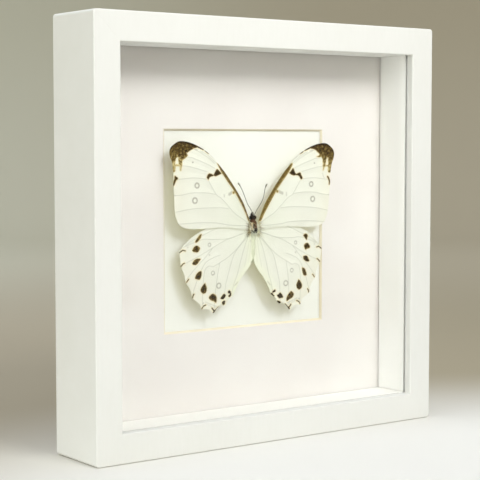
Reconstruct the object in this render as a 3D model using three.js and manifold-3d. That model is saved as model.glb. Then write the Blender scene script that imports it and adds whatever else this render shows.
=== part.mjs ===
// A white butterfly, wings spread, in a deep white box frame.
// Millimetres, +Z up, front towards -Y, origin at the middle of the underside.
import * as THREE from 'three';
import { mergeGeometries, mergeVertices } from 'three/addons/utils/BufferGeometryUtils.js';
import Module from 'manifold-3d';

// Box frame
const FRAME_SIDE = 250;
const FRAME_DEPTH = 45;
const FRONT_BORDER = 17;
const LIP_THICKNESS = 5;
const WALL_THICKNESS = 10;
const CORNER_RADIUS = 2;
const EDGE_EASING = 0.7;
const MITRE_GAP = 0.1;

// Sheets and strips in the rebate, from the front to the back
const FIT_GAP = 0.3;
const GLASS_THICKNESS = 2;
const SPACER_DEPTH = 23.8;
const MAT_GAP = 0.7;
const MAT_THICKNESS = 1.2;
const WINDOW_WIDTH = 120;
const WINDOW_HEIGHT = 121;
const WINDOW_RISE = 0.6;
const MOUNT_BOARD_THICKNESS = 2;
const BACKING_THICKNESS = 3;

// Bent steel tabs and the hanger on the back
const TAB_WIDTH = 12;
const TAB_THICKNESS = 0.6;
const TAB_INSIDE_WALL = 3.5;
const TAB_OVER_BOARD = 11;
const TAB_SPACING = 120;
const HANGER_WIDTH = 42;
const HANGER_HEIGHT = 9;
const HANGER_THICKNESS = 1;
const HANGER_RAISE = 1.6;
const HANGER_DROP = 26;
const HANGER_TEETH = 9;
const TOOTH_DEPTH = 1.8;
const RIVET_RADIUS = 1.9;
const RIVET_HEAD = 0.8;

// Butterfly: its wing plane, the lean of the whole specimen, and how its right wings
// stretch a little further up and down than its left ones
const WING_PLANE_Y = 1.7;
const SPECIMEN_LEAN_DEG = 1.1;
const RIGHT_STRETCH = 1.007;
const LEFT_STRETCH = 0.993;
const WING_THICKNESS = 0.36;
const WING_BOW = 0.7;
const PIN_RADIUS = 0.3;
const PIN_CLEARANCE = 0.3;
const PIN_IN_BOARD = 1;
const PIN_IN_THORAX = 1.6;
const BELLY_Y = 4.5;

const HALF_SIDE = FRAME_SIDE / 2;
const FRONT_Y = -FRAME_DEPTH / 2;
const BACK_Y = FRAME_DEPTH / 2;
const REBATE_HALF = HALF_SIDE - WALL_THICKNESS;
const OPENING_HALF = HALF_SIDE - FRONT_BORDER;
const GLASS_Y = FRONT_Y + LIP_THICKNESS + FIT_GAP;
const SPACER_Y = GLASS_Y + GLASS_THICKNESS + FIT_GAP;
const MAT_Y = SPACER_Y + SPACER_DEPTH + MAT_GAP;
const MOUNT_BOARD_Y = MAT_Y + MAT_THICKNESS + FIT_GAP;
const BACKING_Y = MOUNT_BOARD_Y + MOUNT_BOARD_THICKNESS + FIT_GAP;
const TAB_Y = BACKING_Y + BACKING_THICKNESS + FIT_GAP;

const wasm = await Module();
wasm.setup();

const paintedWood = new THREE.MeshStandardMaterial({ color: 0xf2f1ea, roughness: 0.45 });
const glass = new THREE.MeshStandardMaterial({
  color: 0xf4faf7, roughness: 0.02, transparent: true, opacity: 0.15,
});
const whiteCard = new THREE.MeshStandardMaterial({ color: 0xf3eee6, roughness: 0.9 });
const ivoryBoard = new THREE.MeshStandardMaterial({ color: 0xf7f5e8, roughness: 0.95 });
const hardboard = new THREE.MeshStandardMaterial({ color: 0x8a6a45, roughness: 0.85 });
const steel = new THREE.MeshStandardMaterial({ color: 0xa9abab, roughness: 0.35, metalness: 1 });
const wingScales = new THREE.MeshStandardMaterial({ color: 0xecefdd, roughness: 0.7 });
const bodyFur = new THREE.MeshStandardMaterial({ color: 0x5a4a38, roughness: 0.9 });
const antennaHorn = new THREE.MeshStandardMaterial({ color: 0x6f6e66, roughness: 0.6 });

// ---- Helpers -------------------------------------------------------------

function named(name, geometry, material) {
  const mesh = new THREE.Mesh(geometry, material);
  mesh.name = name;
  return mesh;
}

function solidOf(geometry) {
  const bare = geometry.clone();
  bare.deleteAttribute('normal');
  bare.deleteAttribute('uv');
  const joined = mergeVertices(bare, 1e-4);
  return new wasm.Manifold(new wasm.Mesh({
    numProp: 3,
    vertProperties: new Float32Array(joined.attributes.position.array),
    triVerts: new Uint32Array(joined.index.array),
  }));
}

function geometryOf(solid) {
  const mesh = solid.getMesh();
  const geometry = new THREE.BufferGeometry();
  geometry.setAttribute('position', new THREE.BufferAttribute(mesh.vertProperties, 3));
  geometry.setIndex(new THREE.BufferAttribute(mesh.triVerts, 1));
  return geometry;
}

function block(width, depth, height, x, y, z) {
  return new THREE.BoxGeometry(width, depth, height).translate(x, y, z);
}

// An outline drawn in X and Z, given its thickness along Y from y0 to y1
function plate(shape, y0, y1, curveSegments = 6) {
  const geometry = new THREE.ExtrudeGeometry(shape, {
    depth: y1 - y0, bevelEnabled: false, curveSegments,
  });
  return geometry.rotateX(Math.PI / 2).translate(0, y1, 0);
}

function squareShape(side) {
  const half = side / 2;
  return new THREE.Shape([
    new THREE.Vector2(-half, -half), new THREE.Vector2(half, -half),
    new THREE.Vector2(half, half), new THREE.Vector2(-half, half),
  ]);
}

function roundedSquareShape(side, radius) {
  const half = side / 2;
  const flat = half - radius;
  const shape = new THREE.Shape();
  shape.moveTo(-flat, -half);
  shape.absarc(flat, -flat, radius, -Math.PI / 2, 0);
  shape.absarc(flat, flat, radius, 0, Math.PI / 2);
  shape.absarc(-flat, flat, radius, Math.PI / 2, Math.PI);
  shape.absarc(-flat, -flat, radius, Math.PI, 1.5 * Math.PI);
  return shape;
}

function tube(points, radius, steps, sides) {
  const path = new THREE.CatmullRomCurve3(points);
  const section = new THREE.Shape();
  section.absarc(0, 0, radius, 0, 2 * Math.PI);
  return new THREE.ExtrudeGeometry(section, {
    steps, extrudePath: path, curveSegments: sides,
  });
}

// ---- Box frame -----------------------------------------------------------

// L-shaped section of a rail: X across the frame's depth, Y in from its outer face
function railSection() {
  const shape = new THREE.Shape();
  shape.moveTo(BACK_Y, 0);
  shape.lineTo(BACK_Y, WALL_THICKNESS);
  shape.lineTo(FRONT_Y + LIP_THICKNESS, WALL_THICKNESS);
  shape.lineTo(FRONT_Y + LIP_THICKNESS, FRONT_BORDER);
  const inner = FRONT_BORDER - EDGE_EASING;
  shape.absarc(FRONT_Y + EDGE_EASING, inner, EDGE_EASING, Math.PI / 2, Math.PI);
  shape.absarc(FRONT_Y + EDGE_EASING, EDGE_EASING, EDGE_EASING, Math.PI, 1.5 * Math.PI);
  return shape;
}

function railBar() {
  const bar = new THREE.ExtrudeGeometry(railSection(), {
    depth: FRAME_SIDE, bevelEnabled: false, curveSegments: 3,
  });
  const toRail = new THREE.Matrix4().makeBasis(
    new THREE.Vector3(0, 1, 0), new THREE.Vector3(0, 0, 1), new THREE.Vector3(1, 0, 0),
  );
  return bar.applyMatrix4(toRail).translate(-HALF_SIDE, 0, 0);
}

// The triangle between the two mitre planes of the bottom rail
function mitreWedge() {
  const margin = 1;
  const inset = MITRE_GAP * Math.SQRT1_2;
  const reach = HALF_SIDE + margin - inset;
  const shape = new THREE.Shape([
    new THREE.Vector2(-reach, -margin), new THREE.Vector2(reach, -margin),
    new THREE.Vector2(0, HALF_SIDE - inset),
  ]);
  return plate(shape, FRONT_Y - margin, BACK_Y + margin);
}

function tabSlot(x) {
  const height = TAB_INSIDE_WALL + 2 * FIT_GAP;
  return block(
    TAB_WIDTH + 2 * FIT_GAP, TAB_THICKNESS + 2 * FIT_GAP, height,
    x, TAB_Y + TAB_THICKNESS / 2, WALL_THICKNESS - height / 2 + FIT_GAP,
  );
}

function bottomRail() {
  const column = plate(
    roundedSquareShape(FRAME_SIDE, CORNER_RADIUS), FRONT_Y - 1, BACK_Y + 1, 5,
  ).translate(0, 0, HALF_SIDE);
  return geometryOf(solidOf(railBar())
    .intersect(solidOf(mitreWedge()))
    .intersect(solidOf(column))
    .subtract(solidOf(tabSlot(-TAB_SPACING / 2)))
    .subtract(solidOf(tabSlot(TAB_SPACING / 2))));
}

function bentTab(x) {
  const length = TAB_INSIDE_WALL + TAB_OVER_BOARD;
  return block(
    TAB_WIDTH, TAB_THICKNESS, length,
    x, TAB_Y + TAB_THICKNESS / 2, WALL_THICKNESS - TAB_INSIDE_WALL + length / 2,
  );
}

// Turns what is made for the bottom side to another side of the frame
function onSide(geometry, quarterTurns) {
  return geometry.clone()
    .translate(0, 0, -HALF_SIDE)
    .rotateY(-quarterTurns * Math.PI / 2)
    .translate(0, 0, HALF_SIDE);
}

function boxFrame() {
  const group = new THREE.Group();
  const rail = bottomRail();
  const sides = ['bottom', 'right', 'top', 'left'];
  sides.forEach((side, turns) => {
    group.add(named(`rail_${side}`, onSide(rail, turns), paintedWood));
    [-1, 1].forEach((end, index) => {
      const tab = onSide(bentTab(end * TAB_SPACING / 2), turns);
      group.add(named(`tab_${2 * turns + index + 1}`, tab, steel));
    });
  });
  return group;
}

// ---- Glass, spacers, mat and boards --------------------------------------

function sheet(thickness, y) {
  const side = 2 * (REBATE_HALF - FIT_GAP);
  return block(side, thickness, side, 0, y + thickness / 2, HALF_SIDE);
}

function spacerStrip(length) {
  const outer = REBATE_HALF - FIT_GAP;
  const height = outer - OPENING_HALF;
  return block(
    length, SPACER_DEPTH, height,
    0, SPACER_Y + SPACER_DEPTH / 2, HALF_SIDE - outer + height / 2,
  );
}

function spacers() {
  const group = new THREE.Group();
  const long = spacerStrip(2 * (REBATE_HALF - FIT_GAP));
  const short = spacerStrip(2 * (OPENING_HALF - FIT_GAP));
  group.add(named('spacer_bottom', long, paintedWood));
  group.add(named('spacer_right', onSide(short, 1), paintedWood));
  group.add(named('spacer_top', onSide(long, 2), paintedWood));
  group.add(named('spacer_left', onSide(short, 3), paintedWood));
  return group;
}

// A tapered block whose sides slope at 45 degrees, narrow end at the back
function bevelCutter() {
  const margin = 1;
  const reach = MAT_THICKNESS + 2 * margin;
  const cutter = new THREE.BoxGeometry(1, reach, 1);
  const position = cutter.attributes.position;
  for (let i = 0; i < position.count; i += 1) {
    const behindFace = position.getY(i) + reach / 2 - margin;
    const narrowing = 2 * behindFace;
    position.setX(i, position.getX(i) * (WINDOW_WIDTH - narrowing));
    position.setZ(i, position.getZ(i) * (WINDOW_HEIGHT - narrowing));
    position.setY(i, MAT_Y + behindFace);
  }
  return cutter.translate(0, 0, HALF_SIDE + WINDOW_RISE);
}

function mat() {
  return geometryOf(solidOf(sheet(MAT_THICKNESS, MAT_Y)).subtract(solidOf(bevelCutter())));
}

function mountBoard() {
  const depth = 2 * (PIN_IN_BOARD + FIT_GAP);
  const pinHole = new THREE.CylinderGeometry(
    PIN_RADIUS + PIN_CLEARANCE, PIN_RADIUS + PIN_CLEARANCE, depth, 12,
  ).translate(0, MOUNT_BOARD_Y, HALF_SIDE);
  return geometryOf(
    solidOf(sheet(MOUNT_BOARD_THICKNESS, MOUNT_BOARD_Y)).subtract(solidOf(pinHole)),
  );
}

// ---- Hanger on the back ----------------------------------------------------

function hangerOutline() {
  const half = HANGER_WIDTH / 2;
  const toothedHalf = half - HANGER_HEIGHT;
  const toothWidth = 2 * toothedHalf / HANGER_TEETH;
  const shape = new THREE.Shape();
  shape.moveTo(-half, 0);
  shape.lineTo(-toothedHalf, 0);
  for (let tooth = 0; tooth < HANGER_TEETH; tooth += 1) {
    const start = -toothedHalf + tooth * toothWidth;
    shape.lineTo(start + toothWidth / 2, TOOTH_DEPTH);
    shape.lineTo(start + toothWidth, 0);
  }
  shape.lineTo(half, 0);
  shape.lineTo(half, HANGER_HEIGHT);
  shape.lineTo(-half, HANGER_HEIGHT);
  return shape;
}

function hanger() {
  const group = new THREE.Group();
  const footY = BACKING_Y + BACKING_THICKNESS + FIT_GAP;
  const plateY = footY + HANGER_RAISE;
  const rivetX = (HANGER_WIDTH - HANGER_HEIGHT) / 2 + 1;
  const midZ = HANGER_HEIGHT / 2;
  let strap = solidOf(plate(hangerOutline(), plateY, plateY + HANGER_THICKNESS));
  const foot = HANGER_HEIGHT - 2;
  for (const side of [-1, 1]) {
    const footX = side * (HANGER_WIDTH - foot) / 2;
    const pad = block(
      foot, HANGER_RAISE + 0.5, HANGER_HEIGHT, footX, footY + (HANGER_RAISE + 0.5) / 2, midZ,
    );
    strap = strap.add(solidOf(pad));
  }
  group.add(named('hanger_plate', geometryOf(strap), steel));
  [-1, 1].forEach((side, index) => {
    const headY = plateY + HANGER_THICKNESS + FIT_GAP + RIVET_HEAD / 2;
    const head = new THREE.CylinderGeometry(RIVET_RADIUS, RIVET_RADIUS * 0.7, RIVET_HEAD, 16)
      .rotateX(Math.PI)
      .translate(side * rivetX, headY, midZ);
    group.add(named(`hanger_rivet_${index + 1}`, head, steel));
  });
  group.position.z = FRAME_SIDE - WALL_THICKNESS - HANGER_DROP;
  return group;
}

// ---- Wings -----------------------------------------------------------------
// Each wing is a patch between four edges, drawn for the right-hand side: X outwards
// from the body's middle line, Z towards the head. s runs from the root to the outer
// margin and t from the hind edge to the front edge.

const FOREWING = {
  front: [
    [3.3, 5.6], [7.4, 14.8], [10.5, 19.8], [14, 24.7], [17.9, 29.6], [22, 34.6],
    [26.8, 39.6], [31.8, 44.4], [38.1, 48.6], [45, 51.6], [51, 53], [56, 52.9], [60.6, 50.1],
  ],
  outer: [
    [55.3, 4.6], [57.3, 9.5], [58.3, 16], [58.6, 22.5], [59.2, 28.5], [59, 33],
    [59.6, 37], [60.2, 40.6], [61.8, 44.6], [61.9, 47.8], [60.6, 50.1],
  ],
  hind: [
    [3.3, -0.4], [10, 0.8], [18, 1.7], [26, 1.9], [34, 1.6], [41, 1.4], [47, 1.6],
    [51.5, 2.3], [55.3, 4.6],
  ],
  root: [[3.3, -0.4], [3.1, 2.6], [3.3, 5.6]],
  depth: -0.2,
  lengthSteps: 14,
};

const HINDWING = {
  front: [
    [3.2, 0.3], [8, 2.4], [14, 3.8], [21, 4.2], [28, 3.4], [34, 1.6], [38.5, -0.1],
    [43, -2.4], [47, -5.1], [50.6, -8.4], [53.9, -12.2],
  ],
  outer: [
    [14.3, -39.3], [17.2, -41.2], [20.3, -45.1], [22.8, -44.9], [26, -46.4],
    [28.8, -49.4], [31.6, -47.4], [34.4, -46.8], [37.2, -46.7], [38.8, -43.5],
    [41.4, -41.5], [44.4, -39.4], [45, -36.2], [46.8, -33], [49.2, -30],
    [49.6, -26.6], [51.2, -23.2], [53, -20.2], [53, -17], [53.9, -12.2],
  ],
  hind: [
    [2.6, -3.6], [1.3, -7.5], [0.7, -12], [0.6, -16.5], [1.7, -20.6], [4.2, -24.2],
    [7.4, -27.7], [10.4, -31.6], [12.6, -35.6], [14.3, -39.3],
  ],
  root: [[2.6, -3.6], [3, -1.7], [3.2, 0.3]],
  depth: 0.55,
  lengthSteps: 10,
};

function edgeCurve(points) {
  return new THREE.SplineCurve(points.map(([x, z]) => new THREE.Vector2(x, z)));
}

function wingPatch(wing) {
  const front = edgeCurve(wing.front);
  const hind = edgeCurve(wing.hind);
  const outer = edgeCurve(wing.outer);
  const root = edgeCurve(wing.root);
  const rootHind = root.getPoint(0);
  const rootFront = root.getPoint(1);
  const tipHind = outer.getPoint(0);
  const tipFront = outer.getPoint(1);
  return (s, t) => {
    const along = front.getPoint(s).multiplyScalar(t)
      .addScaledVector(hind.getPoint(s), 1 - t);
    const across = outer.getPoint(t).multiplyScalar(s)
      .addScaledVector(root.getPoint(t), 1 - s);
    const corners = rootHind.clone().multiplyScalar((1 - s) * (1 - t))
      .addScaledVector(rootFront, (1 - s) * t)
      .addScaledVector(tipHind, s * (1 - t))
      .addScaledVector(tipFront, s * t);
    return along.add(across).sub(corners);
  };
}

// The middle of a wing bulges gently towards the glass. The cross steps fall on the
// outer edge's points, so each scallop keeps its tip.
function wingSolid(wing, isLeft) {
  const acrossSteps = 2 * (wing.outer.length - 1);
  const patch = wingPatch(wing);
  const slab = new THREE.BoxGeometry(1, 1, 1, wing.lengthSteps, 1, acrossSteps);
  const position = slab.attributes.position;
  const stretch = isLeft ? LEFT_STRETCH : RIGHT_STRETCH;
  for (let i = 0; i < position.count; i += 1) {
    const fromLeft = position.getX(i) + 0.5;
    const s = isLeft ? 1 - fromLeft : fromLeft;
    const t = position.getZ(i) + 0.5;
    const place = patch(s, t);
    const bow = WING_BOW * Math.sin(Math.PI * s) * Math.sin(Math.PI * t);
    const y = wing.depth - bow + position.getY(i) * WING_THICKNESS;
    position.setXYZ(i, isLeft ? -place.x : place.x, y, place.y * stretch);
  }
  return slab;
}

// ---- Body, antennae and pin ------------------------------------------------

// Along the body: place towards the head, half width, half depth, depth of the axis
const BODY_STATIONS = [
  [9.9, 0.01, 0.01, 1.4], [9.3, 1.3, 1.1, 1.4], [8, 1.9, 1.7, 1.4], [6.5, 1.5, 1.4, 1.4],
  [5, 2.4, 2.4, 1.5], [3, 3, 3, 1.5], [0.8, 3.1, 3.1, 1.5], [-1.6, 2.4, 2.6, 1.9],
  [-3.8, 1.7, 1.7, 2.8], [-6.5, 2, 1.8, 3.2], [-10, 2.2, 2, 3.4], [-14, 1.9, 1.8, 3.5],
  [-17.8, 1.2, 1.2, 3.5], [-20, 0.01, 0.01, 3.5],
];

function bodyTrunk() {
  const rings = 2 * (BODY_STATIONS.length - 1);
  const widths = edgeCurve(BODY_STATIONS.map((row) => [row[0], row[1]]));
  const depths = edgeCurve(BODY_STATIONS.map((row) => [row[2], row[3]]));
  const trunk = new THREE.SphereGeometry(1, 16, rings);
  const position = trunk.attributes.position;
  for (let i = 0; i < position.count; i += 1) {
    const height = THREE.MathUtils.clamp(position.getY(i), -1, 1);
    const share = Math.acos(height) / Math.PI;
    const ringRadius = Math.max(Math.hypot(position.getX(i), position.getZ(i)), 1e-9);
    const isPole = share < 1e-6 || share > 1 - 1e-6;
    const cos = isPole ? 0 : position.getX(i) / ringRadius;
    const sin = isPole ? 0 : position.getZ(i) / ringRadius;
    const width = widths.getPoint(share);
    const depth = depths.getPoint(share);
    position.setXYZ(i, cos * width.y, depth.y - sin * depth.x, width.x);
  }
  return trunk;
}

function eye(side) {
  return new THREE.SphereGeometry(1, 12, 8).scale(0.9, 1, 1.15).translate(side * 1.6, 1.2, 8.1);
}

function palp(side) {
  return new THREE.ConeGeometry(0.4, 1.9, 8).rotateX(Math.PI / 2)
    .rotateY(side * 0.25)
    .translate(side * 0.55, 0.9, 10);
}

// Walking legs folded under the thorax: hip, knee, ankle and toe
function leg(side, shift) {
  const points = [
    [0.8, 3, 1.5], [2.6, 5.4, 2.6], [3.4, 6.2, 1.4], [2.2, 6.6, -1.6], [1.7, 6.9, -5],
  ];
  return tube(
    points.map(([x, y, z]) => new THREE.Vector3(side * x, y, z + shift)), 0.22, 10, 3,
  );
}

function pinHoleInBody() {
  const radius = PIN_RADIUS + PIN_CLEARANCE;
  const start = BELLY_Y - PIN_IN_THORAX - FIT_GAP;
  const end = BELLY_Y + 2;
  return new THREE.CylinderGeometry(radius, radius, end - start, 12)
    .translate(0, (start + end) / 2, 0);
}

function body() {
  let solid = solidOf(bodyTrunk());
  for (const side of [-1, 1]) {
    solid = solid.add(solidOf(eye(side))).add(solidOf(palp(side)));
    solid = solid.add(solidOf(leg(side, 0))).add(solidOf(leg(side, 2)));
  }
  return geometryOf(solid.subtract(solidOf(pinHoleInBody())));
}

function antenna(points) {
  const path = points.map(([x, z]) => new THREE.Vector3(x, 0.2, z));
  const stalk = solidOf(tube(path, 0.3, 12, 3));
  const [tipX, tipZ] = points[points.length - 1];
  const [lastX, lastZ] = points[points.length - 2];
  const lean = Math.atan2(tipX - lastX, tipZ - lastZ);
  const club = new THREE.SphereGeometry(0.55, 10, 8).scale(1, 1, 3.4)
    .rotateY(lean)
    .translate(tipX, 0.2, tipZ);
  return geometryOf(stalk.add(solidOf(club)));
}

function mountingPin() {
  const start = BELLY_Y - PIN_IN_THORAX;
  const end = MOUNT_BOARD_Y + PIN_IN_BOARD - WING_PLANE_Y;
  return new THREE.CylinderGeometry(PIN_RADIUS, PIN_RADIUS, end - start, 12)
    .translate(0, (start + end) / 2, 0);
}

function specimen() {
  const group = new THREE.Group();
  group.add(named('body', body(), bodyFur));
  group.add(named('antenna_left', antenna([
    [-0.9, 10.9], [-3, 13.4], [-5, 16], [-6.9, 20], [-8.6, 23.4], [-10.6, 26.6], [-12.4, 28.8],
  ]), antennaHorn));
  group.add(named('antenna_right', antenna([
    [0.9, 10.9], [3, 13.4], [5, 16], [6.7, 19], [7.6, 22.2], [8.3, 25.6], [9.8, 28.2],
  ]), antennaHorn));
  group.add(named('forewing_left', wingSolid(FOREWING, true), wingScales));
  group.add(named('forewing_right', wingSolid(FOREWING, false), wingScales));
  group.add(named('hindwing_left', wingSolid(HINDWING, true), wingScales));
  group.add(named('hindwing_right', wingSolid(HINDWING, false), wingScales));
  group.add(named('mounting_pin', mountingPin(), steel));
  group.position.set(0, WING_PLANE_Y, HALF_SIDE);
  group.rotation.y = THREE.MathUtils.degToRad(SPECIMEN_LEAN_DEG);
  return group;
}

// ---- Whole object ------------------------------------------------------------

function framedButterfly() {
  const group = new THREE.Group();
  group.add(boxFrame());
  group.add(named('glass_pane', sheet(GLASS_THICKNESS, GLASS_Y), glass));
  group.add(spacers());
  group.add(named('mat', mat(), whiteCard));
  group.add(named('mount_board', mountBoard(), ivoryBoard));
  group.add(named('backing_board', sheet(BACKING_THICKNESS, BACKING_Y), hardboard));
  group.add(hanger());
  group.add(specimen());
  return group;
}

export default framedButterfly();
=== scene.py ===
# A white butterfly, wings spread, in a deep white box frame with a glass front.
# Metres, in the same frame as the solids: +Z up, front towards -Y, origin at the middle
# of the underside. Lengths written in millimetres are multiplied by MM.
import bpy
import bmesh
import math
import random
import numpy as np
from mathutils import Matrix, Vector


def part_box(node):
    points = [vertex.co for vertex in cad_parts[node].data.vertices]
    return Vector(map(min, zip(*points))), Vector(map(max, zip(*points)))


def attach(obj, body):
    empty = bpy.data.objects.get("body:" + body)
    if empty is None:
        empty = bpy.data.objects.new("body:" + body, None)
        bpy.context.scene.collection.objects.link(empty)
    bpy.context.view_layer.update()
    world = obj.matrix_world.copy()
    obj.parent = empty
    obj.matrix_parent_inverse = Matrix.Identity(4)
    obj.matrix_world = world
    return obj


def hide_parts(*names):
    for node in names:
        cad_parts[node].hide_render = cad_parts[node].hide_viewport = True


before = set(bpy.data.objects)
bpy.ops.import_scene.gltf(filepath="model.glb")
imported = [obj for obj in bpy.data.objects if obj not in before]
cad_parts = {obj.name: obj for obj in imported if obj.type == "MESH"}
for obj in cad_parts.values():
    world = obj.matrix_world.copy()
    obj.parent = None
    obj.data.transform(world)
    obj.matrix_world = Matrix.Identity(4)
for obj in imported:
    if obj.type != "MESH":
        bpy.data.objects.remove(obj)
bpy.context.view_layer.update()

MM = 0.001
CLOSE = 0.1      # mm within which two places count as the same
FACING = 0.9     # how squarely a face or edge points a way before it is picked
CUT_THRESHOLD = 1e-7

# Box frame
FRAME_SIDE = 250
FRONT_Y = -22.5
BACK_Y = 22.5
FRONT_BORDER = 17
LIP_BACK_Y = -17.5
WALL_THICKNESS = 10
CORNER_RADIUS = 2
EDGE_EASING = 0.7
MITRE_GAP = 0.02
HALF_SIDE = FRAME_SIDE / 2

# Sheets and strips in the rebate
SHEET_HALF = 114.7
GLASS_FRONT_Y, GLASS_BACK_Y = -17.2, -15.2
SPACER_FRONT_Y, SPACER_BACK_Y = -14.9, 8.9
SPACER_INNER, SPACER_GAP = 108, 0.05
MAT_FRONT_Y, MAT_BACK_Y = 9.6, 10.8
WINDOW_HALF_WIDTH, WINDOW_HALF_HEIGHT, WINDOW_RISE, WINDOW_START = 60, 60.5, 0.6, 40
MOUNT_FRONT_Y, MOUNT_BACK_Y = 11.1, 13.1
BACKING_FRONT_Y, BACKING_BACK_Y = 13.4, 16.4

# Butterfly
WING_PLANE_Y = 1.7
SPECIMEN_Z = 125
SPECIMEN_LEAN = math.radians(1.1)
STRETCH = {"left": 0.993, "right": 1.007}
WING_THICKNESS = 0.2
WING_BOW = 0.7
PLEAT_SAG, PLEAT_WIDTH, VEIN_RIDGE, VEIN_WIDTH = 0.16, 2.2, 0.05, 0.3
WAVES, WAVE_HEIGHT, LONG_WAVE, SHORT_WAVE = 9, 0.1, 26, 11
INNER_MARGIN, VEIN_BLUR, RING_STRENGTH = 4.5, 0.8, 0.68
FAR = 9.0


# ---- Working by hand ---------------------------------------------------------

def put_down():
    """Back to object mode with nothing selected."""
    if bpy.context.object and bpy.context.object.mode != "OBJECT":
        bpy.ops.object.mode_set(mode="OBJECT")
    bpy.ops.object.select_all(action="DESELECT")


def take_up(piece, editing=False):
    put_down()
    piece.select_set(True)
    bpy.context.view_layer.objects.active = piece
    if editing:
        bpy.ops.object.mode_set(mode="EDIT")
        bpy.ops.mesh.select_all(action="DESELECT")


def settle(piece, name):
    """Writes the place, turn and size into the mesh, so that the object sits at the origin."""
    take_up(piece)
    bpy.ops.object.transform_apply(location=True, rotation=True, scale=True)
    piece.name = piece.data.name = name
    return piece


def block(name, low, high):
    """A cube added at its size and place, given by its lowest and highest corner in mm."""
    put_down()
    centre = [(a + b) / 2 * MM for a, b in zip(low, high)]
    size = [(b - a) * MM for a, b in zip(low, high)]
    bpy.ops.mesh.primitive_cube_add(size=1, location=centre, scale=size)
    return settle(bpy.context.object, name)


def sheet(name, front_y, back_y):
    """A flat sheet that fills the rebate from front_y to back_y."""
    return block(name, (-SHEET_HALF, front_y, HALF_SIDE - SHEET_HALF),
                 (SHEET_HALF, back_y, HALF_SIDE + SHEET_HALF))


def rod(name, centre, radius, length, corners):
    """A round bar that points from front to back, added at its size and place in metres."""
    put_down()
    bpy.ops.mesh.primitive_cylinder_add(vertices=corners, radius=radius, depth=length,
                                        location=centre, rotation=(-math.pi / 2, 0, 0))
    return settle(bpy.context.object, name)


def pick(kind, test):
    """Selects the faces or edges of the piece in edit mode that pass a test."""
    shape = bmesh.from_edit_mesh(bpy.context.object.data)
    bpy.ops.mesh.select_mode(type=kind)
    bpy.ops.mesh.select_all(action="DESELECT")
    for item in (shape.faces if kind == "FACE" else shape.edges):
        if test(item):
            item.select_set(True)
    bmesh.update_edit_mesh(bpy.context.object.data)


def middle(edge):
    return (edge.verts[0].co + edge.verts[1].co) / (2 * MM)


def run_of(edge):
    return (edge.verts[1].co - edge.verts[0].co).normalized()


def extrude_back(depth):
    """Draws the picked faces out along Y, by a depth in mm."""
    bpy.ops.mesh.extrude_region_move(TRANSFORM_OT_translate={"value": (0, depth * MM, 0)})


def saw(place, away, **cut):
    """Cuts the piece in edit mode along a plane through a place in metres."""
    bpy.ops.mesh.select_mode(type="VERT")
    bpy.ops.mesh.select_all(action="SELECT")
    bpy.ops.mesh.bisect(plane_co=place, plane_no=away, threshold=CUT_THRESHOLD, **cut)


def add_modifier(piece, kind, **settings):
    take_up(piece)
    modifier = piece.modifiers.new(kind.lower(), kind)
    for key, value in settings.items():
        setattr(modifier, key, value)
    bpy.ops.object.modifier_apply(modifier=modifier.name)


def soften(piece, width, segments=3, angle=35):
    """Eases the sharp edges, then shades smooth with the flats kept flat."""
    if width:
        add_modifier(piece, "BEVEL", width=width * MM, segments=segments,
                     limit_method="ANGLE", angle_limit=math.radians(angle))
    take_up(piece)
    bpy.ops.object.shade_smooth_by_angle(angle=math.radians(angle))
    add_modifier(piece, "WEIGHTED_NORMAL", keep_sharp=True, weight=100)


def smooth(piece):
    take_up(piece)
    bpy.ops.object.shade_smooth()


def face_outwards(piece):
    take_up(piece, editing=True)
    bpy.ops.mesh.select_all(action="SELECT")
    bpy.ops.mesh.normals_make_consistent(inside=False)


def twin(piece, name):
    copy = piece.copy()
    copy.data = piece.data.copy()
    copy.name = copy.data.name = name
    bpy.context.collection.objects.link(copy)
    return copy


def sculpted(name, points, faces, unit=MM):
    """A mesh from points, which are in mm unless another unit is given."""
    mesh = bpy.data.meshes.new(name)
    mesh.from_pydata((np.asarray(points) * unit).tolist(), [], faces)
    mesh.update()
    piece = bpy.data.objects.new(name, mesh)
    bpy.context.collection.objects.link(piece)
    return piece


def hand_over(piece, slot, finish, *nodes):
    """Gives a piece its finish, fixes it to the frame and hides the solids it stands for."""
    if not piece.data.materials:
        piece.data.materials.append(finish)
    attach(piece, "root")
    if nodes:
        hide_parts(*nodes)


# ---- Finishes ------------------------------------------------------------------

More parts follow.
